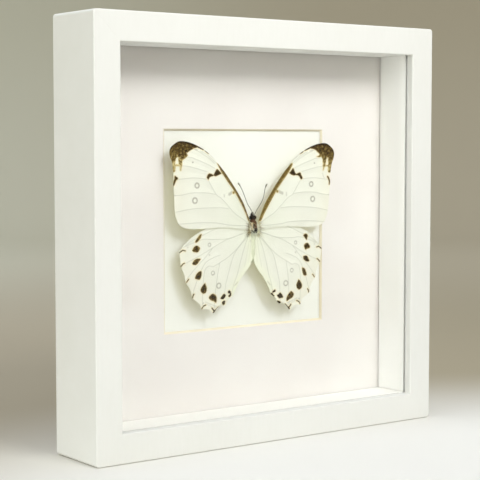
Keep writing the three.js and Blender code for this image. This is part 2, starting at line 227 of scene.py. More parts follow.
class Finish:
    """A procedural material, built one node after another."""

    def __init__(self, name, **shader):
        self.material = bpy.data.materials.new(name)
        self.material.use_nodes = True
        self.tree = self.material.node_tree
        self.shader = self.tree.nodes["Principled BSDF"]
        self.give(**shader)

    def feed(self, socket, given):
        """Links a socket to another node's output, or sets the socket's own value."""
        if isinstance(given, bpy.types.NodeSocket):
            self.tree.links.new(given, socket)
        else:
            socket.default_value = given

    def give(self, **sockets):
        for key, given in sockets.items():
            self.feed(self.shader.inputs[key.replace("_", " ")], given)

    def add(self, kind, *in_order, settings=None, **by_name):
        made = self.tree.nodes.new("ShaderNode" + kind)
        for key, value in (settings or {}).items():
            setattr(made, key, value)
        for index, given in enumerate(in_order):
            self.feed(made.inputs[index], given)
        for key, given in by_name.items():
            self.feed(made.inputs[key], given)
        return made

    def place(self):
        return self.add("TexCoord").outputs["Object"]

    def height(self):
        return self.add("SeparateXYZ", self.place()).outputs["Z"]

    def stretched(self, x, y, z):
        return self.add("Mapping", Vector=self.place(), Scale=(x, y, z)).outputs["Vector"]

    def noise(self, scale, detail=3.0, roughness=0.5, at=None):
        return self.add("TexNoise", Vector=at or self.place(), Scale=scale, Detail=detail,
                        Roughness=roughness).outputs["Fac"]

    def cells(self, scale):
        return self.add("TexVoronoi", Vector=self.place(), Scale=scale).outputs["Distance"]

    def sums(self, operation, *terms):
        return self.add("Math", *terms, settings={"operation": operation}).outputs[0]

    def along(self, operation, spot):
        """How far a place lies from a spot, or along a direction."""
        return self.add("VectorMath", self.place(), spot,
                        settings={"operation": operation}).outputs["Value"]

    def ramp(self, value, low, high, to_low=0.0, to_high=1.0):
        return self.add("MapRange", value, low, high, to_low, to_high,
                        settings={"interpolation_type": "SMOOTHSTEP"}).outputs["Result"]

    def blend(self, amount, first, second):
        made = self.add("Mix", amount, settings={"data_type": "RGBA"})
        self.feed(made.inputs[6], first)
        self.feed(made.inputs[7], second)
        return made.outputs[2]

    def centred(self, value):
        return self.sums("SUBTRACT", value, 0.5)

    def measure(self, name, out="Fac"):
        return self.add("Attribute", settings={"attribute_name": name}).outputs[out]

    def bump(self, height, strength, distance):
        return self.add("Bump", Height=height, Strength=strength,
                        Distance=distance).outputs["Normal"]

    def let_light_through(self, tint):
        """A thin sheet throws a pale, tinted shadow: a lamp's rays pass through it in part."""
        thin = self.add("BsdfTransparent", tint).outputs[0]
        lamps = self.add("LightPath").outputs["Is Shadow Ray"]
        mixed = self.add("MixShader", lamps, self.shader.outputs[0], thin).outputs[0]
        self.feed(self.tree.nodes["Material Output"].inputs["Surface"], mixed)


def shade(red, green, blue):
    """A colour given as it looks on a screen, 0 to 255, made linear."""
    def linear(value):
        value /= 255
        return value / 12.92 if value <= 0.04045 else ((value + 0.055) / 1.055) ** 2.4
    return (linear(red), linear(green), linear(blue), 1.0)


def white_paint():
    """Sprayed satin paint over sanded wood: faint orange peel, a hint of grain."""
    paint = Finish("white_satin_paint", Roughness=0.5)
    cloud = paint.noise(14.0, 3.0)
    grain = paint.noise(60.0, 4.0, 0.6, paint.stretched(9, 1.4, 1.4))
    tone = paint.sums("ADD", paint.sums("MULTIPLY", cloud, 0.6),
                      paint.sums("MULTIPLY", grain, 0.4))
    colour = paint.blend(paint.ramp(tone, 0.3, 0.7), shade(243, 243, 236), shade(247, 247, 241))
    peel = paint.noise(900.0, 2.0)
    fine = paint.noise(6000.0, 2.0)
    height = paint.sums("MULTIPLY_ADD", peel, 1.0, paint.sums("MULTIPLY", fine, 0.25))
    paint.give(Base_Color=colour, Roughness=paint.ramp(peel, 0.2, 0.8, 0.44, 0.56),
               Normal=paint.bump(height, 0.12, 0.0001))
    return paint.material


def spacer_paint():
    """Matt white, with painted shade darkening the bottom strip."""
    paint = Finish("matt_white_strip", Roughness=0.75)
    cloud = paint.noise(18.0, 3.0)
    fibre = paint.noise(500.0, 4.0, 0.6, paint.stretched(1, 4, 1))
    colour = paint.blend(paint.ramp(cloud, 0.3, 0.7), shade(250, 250, 245), shade(253, 253, 249))
    # Painted shade: the colour darkens by height, so the bottom strip and the low ends of the side
    # strips look less lit.
    level = paint.sums("MULTIPLY_ADD", cloud, 0.003, paint.height())
    painted_shade = paint.ramp(level, 0.0185, 0.0205, 0.55, 0.0)
    colour = paint.blend(painted_shade, colour, shade(228, 226, 220))
    paint.give(Base_Color=colour, Normal=paint.bump(fibre, 0.15, 0.0001))
    return paint.material


def card(name, light, dark):
    """Matt card: soft clouding and the pressed fibres of its face."""
    face = Finish(name, Roughness=0.92, Specular_IOR_Level=0.2)
    cloud = face.noise(22.0, 4.0, 0.55)
    speck = face.noise(2600.0, 3.0, 0.65)
    colour = face.blend(face.ramp(cloud, 0.3, 0.7), dark, light)
    colour = face.blend(face.ramp(speck, 0.62, 0.8, 0.0, 0.12), colour, dark)
    felt = face.noise(650.0, 5.0, 0.7)
    height = face.sums("MULTIPLY_ADD", felt, 0.7, face.sums("MULTIPLY", speck, 0.5))
    face.give(Base_Color=colour, Normal=face.bump(height, 0.22, 0.00012))
    return face.material


def hardboard():
    """Brown hardboard: pressed fibres, darker flecks and a rubbed surface."""
    board = Finish("brown_hardboard", Roughness=0.8)
    cloud = board.noise(16.0, 5.0, 0.6)
    fibre = board.noise(700.0, 6.0, 0.75, board.stretched(1, 1, 2.2))
    fleck = board.cells(900.0)
    base = board.blend(board.ramp(cloud, 0.25, 0.75), shade(112, 82, 54), shade(148, 112, 76))
    base = board.blend(board.ramp(fibre, 0.35, 0.7, 0.0, 0.55), base, shade(84, 58, 36))
    base = board.blend(board.ramp(fleck, 0.0, 0.16, 0.35, 0.0), base, shade(58, 40, 26))
    height = board.sums("MULTIPLY_ADD", fibre, 1.0, board.sums("MULTIPLY", cloud, 0.4))
    board.give(Base_Color=base, Roughness=board.ramp(fibre, 0.3, 0.7, 0.62, 0.9),
               Normal=board.bump(height, 0.5, 0.0003))
    return board.material


def zinc_steel():
    """Bright zinc-plated steel with rolling lines and fine scratches."""
    metal = Finish("zinc_plated_steel", Metallic=1.0, Roughness=0.35)
    rolling = metal.noise(420.0, 3.0, 0.6, metal.stretched(1, 1, 14))
    spangle = metal.cells(260.0)
    tint = metal.blend(metal.ramp(spangle, 0.1, 0.8), shade(196, 197, 196), shade(172, 174, 176))
    scratch = metal.noise(2600.0, 2.0, 0.5, metal.stretched(1, 1, 0.05))
    rough = metal.sums("MULTIPLY_ADD", rolling, 0.2, 0.22)
    metal.give(Base_Color=tint, Roughness=rough,
               Normal=metal.bump(metal.sums("ADD", rolling, scratch), 0.12, 0.00008))
    return metal.material


def clear_glass():
    pane = Finish("clear_glass", Base_Color=(0.985, 0.995, 0.99, 1.0), Roughness=0.0,
                  IOR=1.45, Transmission_Weight=1.0, Specular_IOR_Level=0.15)
    smear = pane.noise(28.0, 4.0, 0.6)
    pane.give(Roughness=pane.ramp(smear, 0.55, 0.85, 0.0, 0.012))
    return pane.material


# ---- Camera, light and floor ----------------------------------------------------

CAMERA_PLACE = (-0.52031, -0.69229, 0.17931)
CAMERA_YAW, CAMERA_PITCH, CAMERA_LENS = 0.63421, -0.06945, 107.49
FRAME_MIDDLE = (0, 0, 0.125)
# Softboxes, azimuth 0 straight in front of the frame: azimuth, elevation, distance, width,
# height, watts, colour, the angle of the grid and where it aims
SOFTBOXES = {
    "key_light": (-3, 39, 0.95, 0.34, 0.34, 0.48, (1, 1, 1), 180, FRAME_MIDDLE),
    "left_key": (22, 38, 1.1, 0.4, 0.4, 0.1, (1, 1, 1), 180, FRAME_MIDDLE),
    "upper_light": (-5, 38, 1.15, 0.4, 0.4, 0.73, (1, 1, 1), 60, (0.04, 0, 0.36)),
    "front_fill": (26, 7, 1.3, 0.9, 0.5, 1.06, (1, 0.965, 0.89), 180, FRAME_MIDDLE),
    "left_fill": (75, 12, 1.5, 1.0, 1.0, 3.6, (0.94, 0.98, 1), 180, FRAME_MIDDLE),
    "side_light": (85, 2, 1.1, 0.7, 0.35, 1.0, (0.94, 0.98, 1), 180, FRAME_MIDDLE),
}
SKY_COLOUR, SKY_STRENGTH = (0.92, 0.95, 1.0, 1), 0.9
FLOOR_RADIUS, COVE_RADIUS, WALL_TOP, BOWL_TURNS, COVE_STEPS = 1.75, 0.45, 1.25, 96, 12
FLOOR_RINGS = (0.0, 0.1, 0.2, 0.35, 0.6, 1.0, 1.4)
FLOOR_DROP = 0.0002
# Across the wall behind the frame, and the way out through its glass to the wall in front
WALL_ACROSS, WALL_IN_FRONT = (0.806, -0.592, 0.0), (0.592, -0.806, 0.0)


def set_camera():
    data = bpy.data.cameras.new("camera")
    data.lens, data.sensor_width = CAMERA_LENS, 36
    data.clip_start, data.clip_end = 0.01, 20
    camera = bpy.data.objects.new("camera", data)
    bpy.context.collection.objects.link(camera)
    ahead = Vector((math.sin(CAMERA_YAW) * math.cos(CAMERA_PITCH),
                    math.cos(CAMERA_YAW) * math.cos(CAMERA_PITCH), math.sin(CAMERA_PITCH)))
    camera.location = CAMERA_PLACE
    camera.rotation_euler = ahead.to_track_quat("-Z", "Y").to_euler()
    bpy.context.scene.camera = camera


def soft_light(name, azimuth, elevation, distance, width, height, watts, colour, spread, aim):
    data = bpy.data.lights.new(name, "AREA")
    data.shape = "RECTANGLE"
    data.size, data.size_y = width, height
    data.energy, data.color, data.spread = watts, colour, math.radians(spread)
    light = bpy.data.objects.new(name, data)
    bpy.context.collection.objects.link(light)
    turn, rise = math.radians(azimuth), math.radians(elevation)
    away = Vector((-math.sin(turn) * math.cos(rise), -math.cos(turn) * math.cos(rise),
                   math.sin(rise)))
    light.location = Vector(FRAME_MIDDLE) + away * distance
    light.rotation_euler = (Vector(aim) - light.location).to_track_quat("-Z", "Y").to_euler()
    light.visible_camera = light.visible_glossy = False


def set_lights():
    world = bpy.data.worlds.new("studio")
    world.use_nodes = True
    sky = world.node_tree.nodes["Background"]
    sky.inputs["Color"].default_value = SKY_COLOUR
    sky.inputs["Strength"].default_value = SKY_STRENGTH
    bpy.context.scene.world = world
    for name, setting in SOFTBOXES.items():
        soft_light(name, *setting)
    bpy.context.scene.view_settings.view_transform = "Standard"


def studio_paper():
    """A painted pool of light: white round the frame, passing into warm grey, with a darker wall in
    front.
    """
    paper = Finish("studio_paper", Roughness=0.95)
    # Painted light: white in a pool round a spot in front of the frame, greyer on the floor beyond
    # it, lighter up the far wall, and darker towards one side.
    light_pool_distance = paper.along("DISTANCE", (0.0, -0.35, 0.0))
    across = paper.ramp(paper.along("DOT_PRODUCT", WALL_ACROSS), -0.5, 0.25)
    low = paper.blend(across, shade(184, 175, 155), shade(178, 168, 143))
    high = paper.blend(across, shade(213, 211, 192), shade(198, 189, 166))
    wall = paper.blend(paper.ramp(light_pool_distance, 0.75, 1.7), low, high)
    in_front = paper.ramp(paper.along("DOT_PRODUCT", WALL_IN_FRONT), 1.0, 1.7)
    wall = paper.blend(in_front, wall, shade(120, 116, 106))
    paper.give(Base_Color=paper.blend(paper.ramp(light_pool_distance, 0.28, 0.53), shade(253, 252, 246), wall))
    return paper.material


def studio_bowl():
    """A pale floor that curves up into a plain wall all round."""
    profile = [(radius, 0.0) for radius in FLOOR_RINGS]
    for step in range(COVE_STEPS + 1):
        turn = step / COVE_STEPS * math.pi / 2
        profile.append((FLOOR_RADIUS + COVE_RADIUS * math.sin(turn),
                        COVE_RADIUS * (1 - math.cos(turn))))
    profile.append((FLOOR_RADIUS + COVE_RADIUS, WALL_TOP))
    points, faces = [(0.0, 0.0, -FLOOR_DROP)], []
    for ring, (radius, height) in enumerate(profile[1:]):
        inner, outer = 1 + (ring - 1) * BOWL_TURNS, 1 + ring * BOWL_TURNS
        for turn in range(BOWL_TURNS):
            angle, after = 2 * math.pi * turn / BOWL_TURNS, (turn + 1) % BOWL_TURNS
            points.append((radius * math.cos(angle), radius * math.sin(angle), height - FLOOR_DROP))
            faces.append((inner + turn, outer + turn, outer + after, inner + after) if ring
                         else (0, outer + turn, outer + after))
    bowl = sculpted("studio_bowl", points, faces, unit=1)
    smooth(bowl)
    bowl.data.materials.append(studio_paper())


# ---- Frame, glass, boards ----------------------------------------------------------

DIAGONAL = math.sqrt(0.5)


def turned(spot, turns):
    """A place in the frame's plane after a number of quarter turns."""
    turn = -turns * math.pi / 2
    return Vector((spot.x * math.cos(turn) + spot.z * math.sin(turn), spot.y,
                   -spot.x * math.sin(turn) + spot.z * math.cos(turn)))


def is_open(edge):
    return len(edge.link_faces) == 1


def is_corner(edge):
    spot = middle(edge)
    return (abs(run_of(edge).y) > FACING
            and min(abs(spot.x), abs(spot.z - HALF_SIDE)) > HALF_SIDE - CLOSE)


def is_arris(edge):
    """An edge round the outside, at the front or the back, or round the opening in front."""
    spot, run = middle(edge), run_of(edge)
    if abs(run.y) > 1 - FACING:
        return False
    normals = [face.normal for face in edge.link_faces]
    square = len(normals) == 2 and abs(normals[0].dot(normals[1])) < 1 - FACING
    out = max(abs(spot.x), abs(spot.z - HALF_SIDE))
    front, back = abs(spot.y - FRONT_Y) < CLOSE, abs(spot.y - BACK_Y) < CLOSE
    mitre = abs(abs(run.x) - abs(run.z)) < 0.02
    if out > HALF_SIDE - CORNER_RADIUS and square:
        return front or back
    return front and not mitre and abs(out - HALF_SIDE + FRONT_BORDER) < CLOSE


def frame_rails(paint):
    """The moulding is shaped as one square ring and then sawn at its mitres."""
    ring = block("rail_ring", (-HALF_SIDE, FRONT_Y, 0), (HALF_SIDE, BACK_Y, FRAME_SIDE))
    take_up(ring, editing=True)
    for direction, border, edge_y in ((-1, FRONT_BORDER, FRONT_Y), (1, WALL_THICKNESS, BACK_Y)):
        pick("FACE", lambda face: face.normal.y * direction > FACING
             and abs(face.calc_center_median().y / MM - edge_y) < CLOSE)
        bpy.ops.mesh.inset(thickness=border * MM)
        extrude_back(LIP_BACK_Y - edge_y)
        bpy.ops.mesh.delete(type="FACE")
    pick("EDGE", is_open)
    bpy.ops.mesh.bridge_edge_loops()
    pick("EDGE", is_corner)
    bpy.ops.mesh.bevel(offset=CORNER_RADIUS * MM, segments=8, affect="EDGES")
    pick("EDGE", is_arris)
    bpy.ops.mesh.bevel(offset=EDGE_EASING * MM, segments=4, affect="EDGES")
    put_down()
    for turns, side in enumerate(("bottom", "right", "top", "left")):
        rail = twin(ring, "rail_" + side)
        take_up(rail, editing=True)
        for lean in (-1, 1):
            outward = turned(Vector((lean * DIAGONAL, 0, DIAGONAL)), turns)
            corner = turned(Vector((lean * HALF_SIDE, 0, -HALF_SIDE)), turns)
            corner.z += HALF_SIDE
            saw((corner - outward * MITRE_GAP / 2) * MM, outward, use_fill=True, clear_outer=True)
        soften(rail, 0, angle=32)
        hand_over(rail, "painted_wood", paint, "rail_" + side)
    bpy.data.objects.remove(ring)


def spacer_strips(paint):
    outer, inner = SHEET_HALF, SPACER_INNER
    short = inner - SPACER_GAP
    sides = {
        "bottom": ((-outer, HALF_SIDE - outer), (outer, HALF_SIDE - inner)),
        "top": ((-outer, HALF_SIDE + inner), (outer, HALF_SIDE + outer)),
        "left": ((-outer, HALF_SIDE - short), (-inner, HALF_SIDE + short)),
        "right": ((inner, HALF_SIDE - short), (outer, HALF_SIDE + short)),
    }
    for side, ((x0, z0), (x1, z1)) in sides.items():
        strip = block("spacer_" + side, (x0, SPACER_FRONT_Y, z0), (x1, SPACER_BACK_Y, z1))
        soften(strip, 0.25, 2)
        hand_over(strip, "spacer_wood", paint, "spacer_" + side)


def glass_sheet(finish):
    pane = sheet("glass_pane", GLASS_FRONT_Y, GLASS_BACK_Y)
    soften(pane, 0.15, 1)
    pane.visible_shadow = False
    hand_over(pane, "glass", finish, "glass_pane")


def window_mat(face_card, core_card):
    """A sheet of card whose window is cut with its edge sloping at 45 degrees."""
    mat = sheet("mat", MAT_FRONT_Y, MAT_BACK_Y)
    take_up(mat, editing=True)
    now = SHEET_HALF - WINDOW_START
    for direction in (-1, 1):
        pick("FACE", lambda face: face.normal.y * direction > FACING)
        bpy.ops.mesh.inset(thickness=WINDOW_START * MM)
        narrower = MAT_BACK_Y - MAT_FRONT_Y if direction > 0 else 0
        bpy.ops.transform.resize(
            value=((WINDOW_HALF_WIDTH - narrower) / now, 1, (WINDOW_HALF_HEIGHT - narrower) / now),
            center_override=(0, 0, HALF_SIDE * MM))
        bpy.ops.transform.translate(value=(0, 0, WINDOW_RISE * MM))
        bpy.ops.mesh.delete(type="FACE")
    pick("EDGE", is_open)
    bpy.ops.mesh.bridge_edge_loops()
    put_down()
    mat.data.materials.append(face_card)
    mat.data.materials.append(core_card)
    for face in mat.data.polygons:
        face.material_index = 1 if abs(face.normal.y) < FACING else 0
    hand_over(mat, "mat_card", face_card, "mat")


def mount_and_backing(mount_card, board):
    mount = sheet("mount_board", MOUNT_FRONT_Y, MOUNT_BACK_Y)
    soften(mount, 0.2, 2)
    hand_over(mount, "mount_card", mount_card, "mount_board")
    backing = sheet("backing_board", BACKING_FRONT_Y, BACKING_BACK_Y)
    soften(backing, 0.3, 2)
    hand_over(backing, "hardboard", board, "backing_board")


# ---- Wings ------------------------------------------------------------------------
# Edges and markings are drawn for a right-hand wing, in mm on the spread wing:
# outwards from the body's middle, and up towards the head.

FOREWING = {
    "front": [(2.7, 4.3), (7.4, 14.8), (10.5, 19.8), (14, 24.7), (17.9, 29.6), (22, 34.6),
        (26.8, 39.6), (31.8, 44.4), (38.1, 48.6), (45, 51.6), (51, 53), (56, 52.9), (60.6, 50.1)],
    "outer": [(55.3, 4.6), (57.3, 9.5), (58.3, 16), (58.6, 22.5), (59.2, 28.5), (59, 33),
        (59.6, 37), (60.2, 40.6), (61.8, 44.6), (61.9, 47.8), (60.6, 50.1)],
    "hind": [(2.3, -0.5), (10, 0.8), (18, 1.7), (26, 1.9), (34, 1.6), (41, 1.4), (47, 1.6),
        (51.5, 2.3), (55.3, 4.6)],
    "root": [(2.3, -0.5), (2.2, 2.2), (2.7, 4.3)],
    "depth": -0.2,
    "cells": (190, 170),
}
HINDWING = {
    "front": [(2.3, 0), (8, 2.4), (14, 3.8), (21, 4.2), (28, 3.4), (34, 1.6), (38.5, -0.1),
        (43, -2.4), (47, -5.1), (50.6, -8.4), (53.9, -12.2)],
    "outer": [(14.3, -39.3), (17.2, -41.2), (20.3, -45.1), (22.8, -44.9), (26, -46.4),
        (28.8, -49.4), (31.6, -47.4), (34.4, -46.8), (37.2, -46.7), (38.8, -43.5), (41.4, -41.5),
        (44.4, -39.4), (45, -36.2), (46.8, -33), (49.2, -30), (49.6, -26.6), (51.2, -23.2),
        (53, -20.2), (53, -17), (53.9, -12.2)],
    "hind": [(2, -3.6), (1.2, -7.5), (0.7, -12), (0.6, -16.5), (1.7, -20.6), (4.2, -24.2),
        (7.4, -27.7), (10.4, -31.6), (12.6, -35.6), (14.3, -39.3)],
    "root": [(2, -3.6), (2.1, -1.7), (2.3, 0)],
    "depth": 0.55,
    "cells": (170, 190),
}
FORE_VEINS = [
    [(5.5, 4.5), (8, 6.5), (15, 10.5), (20, 15), (25, 19.5), (28.5, 21.5), (31.5, 25.5),
        (34.3, 29.5)],
    [(19.5, 13.3), (25, 13.9), (35, 13.9), (45, 13.5), (52, 12.5), (57.5, 11.5)],
    [(29, 22), (35, 22.8), (40, 23), (47, 22.8), (52, 21.8), (58.5, 21.2)],
    [(34.3, 29.5), (36, 31), (45, 31.7), (52, 31.2), (59, 30.5)],
    [(36, 35.5), (40, 36.5), (45, 37.7), (50, 38.6), (60, 38.8)],
    [(30, 37.5), (35, 39.7), (40, 41.5), (44, 42.8), (48, 43.9), (61, 44.5)],
    [(30.5, 40.5), (34, 43.2), (40, 46.5), (44, 48.2), (50, 50), (56, 51.2)],
    [(27.5, 39.5), (32, 43), (36, 45.8), (40, 47.5)],
    [(6, 3), (10, 3), (20, 3.6), (25, 4.5), (30, 5), (40, 5.2), (50, 4.8), (55, 4.5)],
    [(5, 6), (9, 13), (15, 21.5), (22, 30.5), (27, 36.5)],
]
HIND_VEINS = [
    [(4, -2.4), (5, -3), (10, -8.5), (15, -13), (20, -16.5), (25, -19), (30, -21.5)],
    [(5, -1.4), (9, -2), (15, -4), (22, -6), (30, -9.8), (40, -14.8), (52.5, -20)],
    [(8, -1.8), (10, -2.5), (20, -4.8), (30, -5), (38, -5), (51, -9.2)],
    [(30, -9.8), (36, -16), (43, -22.5), (49, -29)],
    [(25, -14.5), (30, -16), (36, -19.5), (41, -29), (44.5, -38.5)],
    [(30, -21.5), (33, -21), (36, -24), (37, -35), (37, -46)],
    [(25, -19), (26.8, -28), (28, -39), (28.6, -48.6)],
    [(4, -3.5), (11, -10), (15, -15), (17.5, -22), (19.5, -29), (20.5, -33), (21.6, -44)],
    [(3.5, -3.6), (5, -6), (7.5, -12), (10, -20), (12, -27), (14, -32), (16.2, -40)],
    [(4, -0.3), (10, 1.6), (18, 2.6), (27, 1.6), (36, -1.8), (44, -5), (49.5, -8)],
]

# Brown scales: how dark they are from 0 to 1, and the outline that they fill
FORE_BROWN = {
    "left": [
        (0.62, [(3, 4.2), (4.6, 10), (6.8, 15), (9.8, 20), (13.2, 25), (17.6, 30), (21.8, 35),
            (25.4, 39.7), (28, 40.4), (24.9, 35), (20.7, 30), (16.2, 25), (12.6, 20), (9.3, 15),
            (6.3, 10), (4.6, 6)]),
        (0.95, [(25, 34.2), (26.6, 35.9), (28.2, 37.1), (29.4, 36), (30.2, 34.6), (31, 33.4),
            (29.5, 32.7), (27.2, 33.4)]),
        (0.95, [(30.6, 33.4), (32.5, 34.2), (34.2, 34.4), (35.4, 33.4), (36, 31.9), (35.6, 31.4),
            (34.9, 30.5), (34.2, 31.2), (33.5, 32.2), (32, 32.6), (31, 32.9)]),
        (0.62, [(41, 54), (41.5, 50.1), (44.5, 49.2), (46.5, 48.4), (48.5, 47.2), (50, 46),
            (49.5, 44.9), (51, 43.4), (53, 42), (53.3, 40), (53.7, 37.5), (54, 36), (54.7, 36.2),
            (55, 38.3), (56.4, 38.6), (57.8, 38.4), (57.9, 37), (58.2, 35.4), (59.6, 35), (63, 36),
            (66, 46), (62, 56), (50, 57)]),
        (0.9, [(56, 31.3), (57.2, 32.4), (58.3, 32.9), (58.5, 31), (59.4, 28.2), (58.7, 27),
            (57.3, 30)]),
    ],
    "right": [
        (0.58, [(3, 4.2), (4.9, 10), (7.4, 15), (10.2, 20), (13.8, 25), (17.2, 30), (21, 35),
            (26, 39.8), (28.8, 40), (25.6, 35), (21.2, 30), (17, 25), (13.6, 20), (10.4, 15),
            (7.3, 10), (5, 5.6)]),
        (0.95, [(26, 34.6), (27, 35.4), (28.9, 37.5), (29.7, 36.8), (30.7, 34.8), (31.5, 34.2),
            (31, 33.2), (29.5, 33), (27.5, 33.6)]),
        (0.95, [(31, 33.7), (33, 34.6), (34.5, 35), (35.2, 34.2), (36.3, 32), (36.4, 31.6),
            (35.5, 30.7), (34.6, 31.2), (33.8, 32.4), (32.6, 33.1), (31.2, 33.2)]),
        (0.62, [(41, 54), (41.5, 50.3), (44.5, 49.4), (46.5, 48.9), (48, 47.8), (49.5, 46.8),
            (50, 46), (48.8, 45.2), (47.5, 44.8), (49.5, 44.4), (51.5, 44.5), (52.5, 43),
            (52.8, 41.5), (53, 40), (52.5, 39.2), (53, 38.3), (52.8, 36.5), (53.6, 36.5),
            (54.5, 38.6), (57, 38.8), (57.1, 37), (57.4, 35.6), (58.4, 35), (63, 36), (66, 46),
            (62, 56), (50, 57)]),
        (0.9, [(56.3, 32.3), (57.2, 33), (58.5, 31.4), (59.2, 29), (58.5, 27.2), (58, 27.8),
            (57.9, 29.6), (57.2, 31.2)]),
    ],
}
# Cream left clear inside the brown tip
FORE_CREAM = {
    "left": [[(55.8, 39.5), (55.9, 41.8), (56.4, 43.7), (57.4, 43.2), (58, 41.2), (57.9, 39.5)]],
    "right": [[(55.3, 39.6), (55.5, 42), (56.1, 44.3), (56.8, 43.8), (57.2, 41.5), (57, 39.6)]],
}
HIND_MIDDLE_SPOT = (0.85, [(35.3, -31), (37, -32.3), (38.5, -34.8), (37.8, -36.5), (36, -37.4),
    (34.3, -36.2), (34, -34), (34.8, -32.3)])
HIND_BROWN = {
    "left": [
        (0.75, [(38.1, -1.8), (39.6, -2.1), (41.3, -3.9), (42.9, -6), (42.2, -6.8), (40.6, -5.9),
            (38.9, -4)]),
        (0.78, [(39.2, -10.2), (41, -8.6), (43, -8.8), (44.7, -11), (44, -12), (41.5, -12.5),
            (40, -11.8)]),
        (0.85, [(38.8, -16.6), (41, -16.2), (43.2, -17), (44.5, -18.8), (44.2, -19.8), (42, -20),
            (40.5, -18.9)]),
        (0.95, [(38.2, -23.8), (40.3, -24.2), (41.8, -25.8), (42.6, -28), (41.8, -28.4),
            (39.5, -28.8), (38.3, -27.2), (37.9, -25)]),
        HIND_MIDDLE_SPOT,
        (0.9, [(29.3, -37.6), (31.5, -38.5), (32.4, -40), (31, -41.5), (28.8, -42.3), (27.2, -43.3),
            (26.7, -42), (26.8, -39.8), (28, -38.3)]),
        (1.2, [(19.8, -39.2), (21.3, -38), (22.3, -38.8), (23.9, -40.6), (23, -41.3), (21.5, -41.2),
            (20.3, -40)]),
        (1.25, [(16.4, -37), (17.3, -36.1), (18.4, -36.8), (18.2, -37.9), (17.2, -38.1),
            (17.2, -38.7), (18.1, -39.4), (17.4, -40.3), (16.3, -39.8), (15.9, -38.3)]),
        (1.25, [(20.2, -42.5), (21.4, -42.3), (22.7, -43.2), (21.8, -44.9), (20.7, -44.4)]),
    ],
    "right": [
        (0.78, [(38.8, -4.2), (39.8, -3), (41.5, -3), (42.4, -4.2), (42, -5.5), (41.5, -6.8),
            (40.3, -5.8)]),
        (0.78, [(39.3, -10.5), (40.5, -9), (42, -8.6), (43.2, -9.2), (44.5, -11), (43.8, -12),
            (42, -12.2), (41, -12.8), (39.8, -11.8)]),
        (0.86, [(38.8, -17), (40.5, -16.4), (42, -16.8), (43.2, -18.2), (44, -20), (42, -20.2),
            (40.3, -19.6), (39, -18.5)]),
        (0.95, [(38, -23.9), (39.8, -24.2), (41.2, -25.8), (42, -28.3), (41.3, -28.8),
            (39.8, -28.8), (38.9, -27.5), (38.2, -25.5)]),
        HIND_MIDDLE_SPOT,
        (0.9, [(29.8, -38), (31.5, -39), (32, -40.3), (31, -42), (28.5, -43.2), (26.6, -44.2),
            (26.4, -42), (27.5, -40), (28.6, -38.8)]),
        (1.2, [(18.9, -40.2), (20, -39.6), (21, -38.6), (22.2, -39.2), (23.8, -41.6), (22, -42),
            (21, -42.2), (19.6, -41.3)]),
        (1.25, [(15.3, -38.6), (15.6, -37.4), (17.5, -36.6), (17.8, -37.8), (16.4, -38.4),
            (15.6, -38.9), (16, -39.6), (17, -40.2), (16.6, -41), (14.8, -40), (14.2, -38.6)]),
        (1.25, [(18.6, -43.8), (20.4, -43.6), (22, -44.6), (21.2, -46.2), (19.6, -45.8)]),
    ],
}
# Fine dark strokes: darkness, half width, line
FRONT_EDGE = [(3.4, 5.8), (7.4, 14.8), (10.5, 19.8), (14, 24.7), (17.9, 29.6), (22, 34.6),
    (26, 38.8)]
TIP_EDGE = (1.1, 0.5, [(38.4, 48.6), (42.4, 50.2), (46, 50.6)])
FORE_STROKES = {
    "left": [
        (0.85, 0.24, [(4.7, 6.5), (6.3, 10), (9.2, 15), (12.5, 20), (16.1, 25), (20.6, 30),
            (24.8, 35), (27.9, 40.2)]),
        (0.8, 0.3, FRONT_EDGE),
        (0.5, 0.85, [(15.9, 23), (16, 23)]),
        (1.25, 0.4, [(34.6, 46.4), (36.8, 47.7)]),
        TIP_EDGE,
    ],
    "right": [
        (0.7, 0.22, [(5.1, 6), (7.2, 10), (10.3, 15), (13.5, 20), (16.9, 25), (21.1, 30),
            (25.5, 35), (28.6, 39.8)]),
        (0.75, 0.25, FRONT_EDGE),
        (0.5, 0.85, [(17, 23.3), (17.1, 23.3)]),
        (1.25, 0.36, [(34.6, 46.5), (36.8, 47.6)]),
        TIP_EDGE,
    ],
}
HIND_STROKES = [
    (1.3, 0.32, [(25.4, -45.8), (27.6, -47.8), (28.5, -48.1)]),
    (1.3, 0.55, [(28.3, -48), (28.8, -49.4)]),
    (1.3, 0.42, [(28.5, -48), (30, -46.3)]),
    (1.15, 0.34, [(49.7, -11.4), (51.4, -11), (53.8, -12.4)]),
    (1.15, 0.34, [(50.2, -18.7), (51.4, -19.3), (52.5, -20.5)]),
    (1.15, 0.34, [(46.9, -28.3), (47.6, -29), (48.4, -30)]),
    (1.2, 0.38, [(43.1, -37.3), (43.7, -38.2), (44, -39.4)]),
    (1.2, 0.36, [(34.5, -44.2), (36.1, -44.7), (37.4, -46.4)]),
]
# Grey rings: centre, radius, half width of the line
FORE_RINGS = {
    "left": [(42.7, 27.2, 1.4, 0.5), (44, 18.3, 1.55, 0.55)],
    "right": [(43.5, 27.8, 1.4, 0.5), (45, 18.6, 1.5, 0.55)],
}
HIND_RINGS = [(32.6, -8.2, 0.95, 0.32), (29.9, -25.2, 1.1, 0.35), (25.4, -33, 1.5, 0.4)]
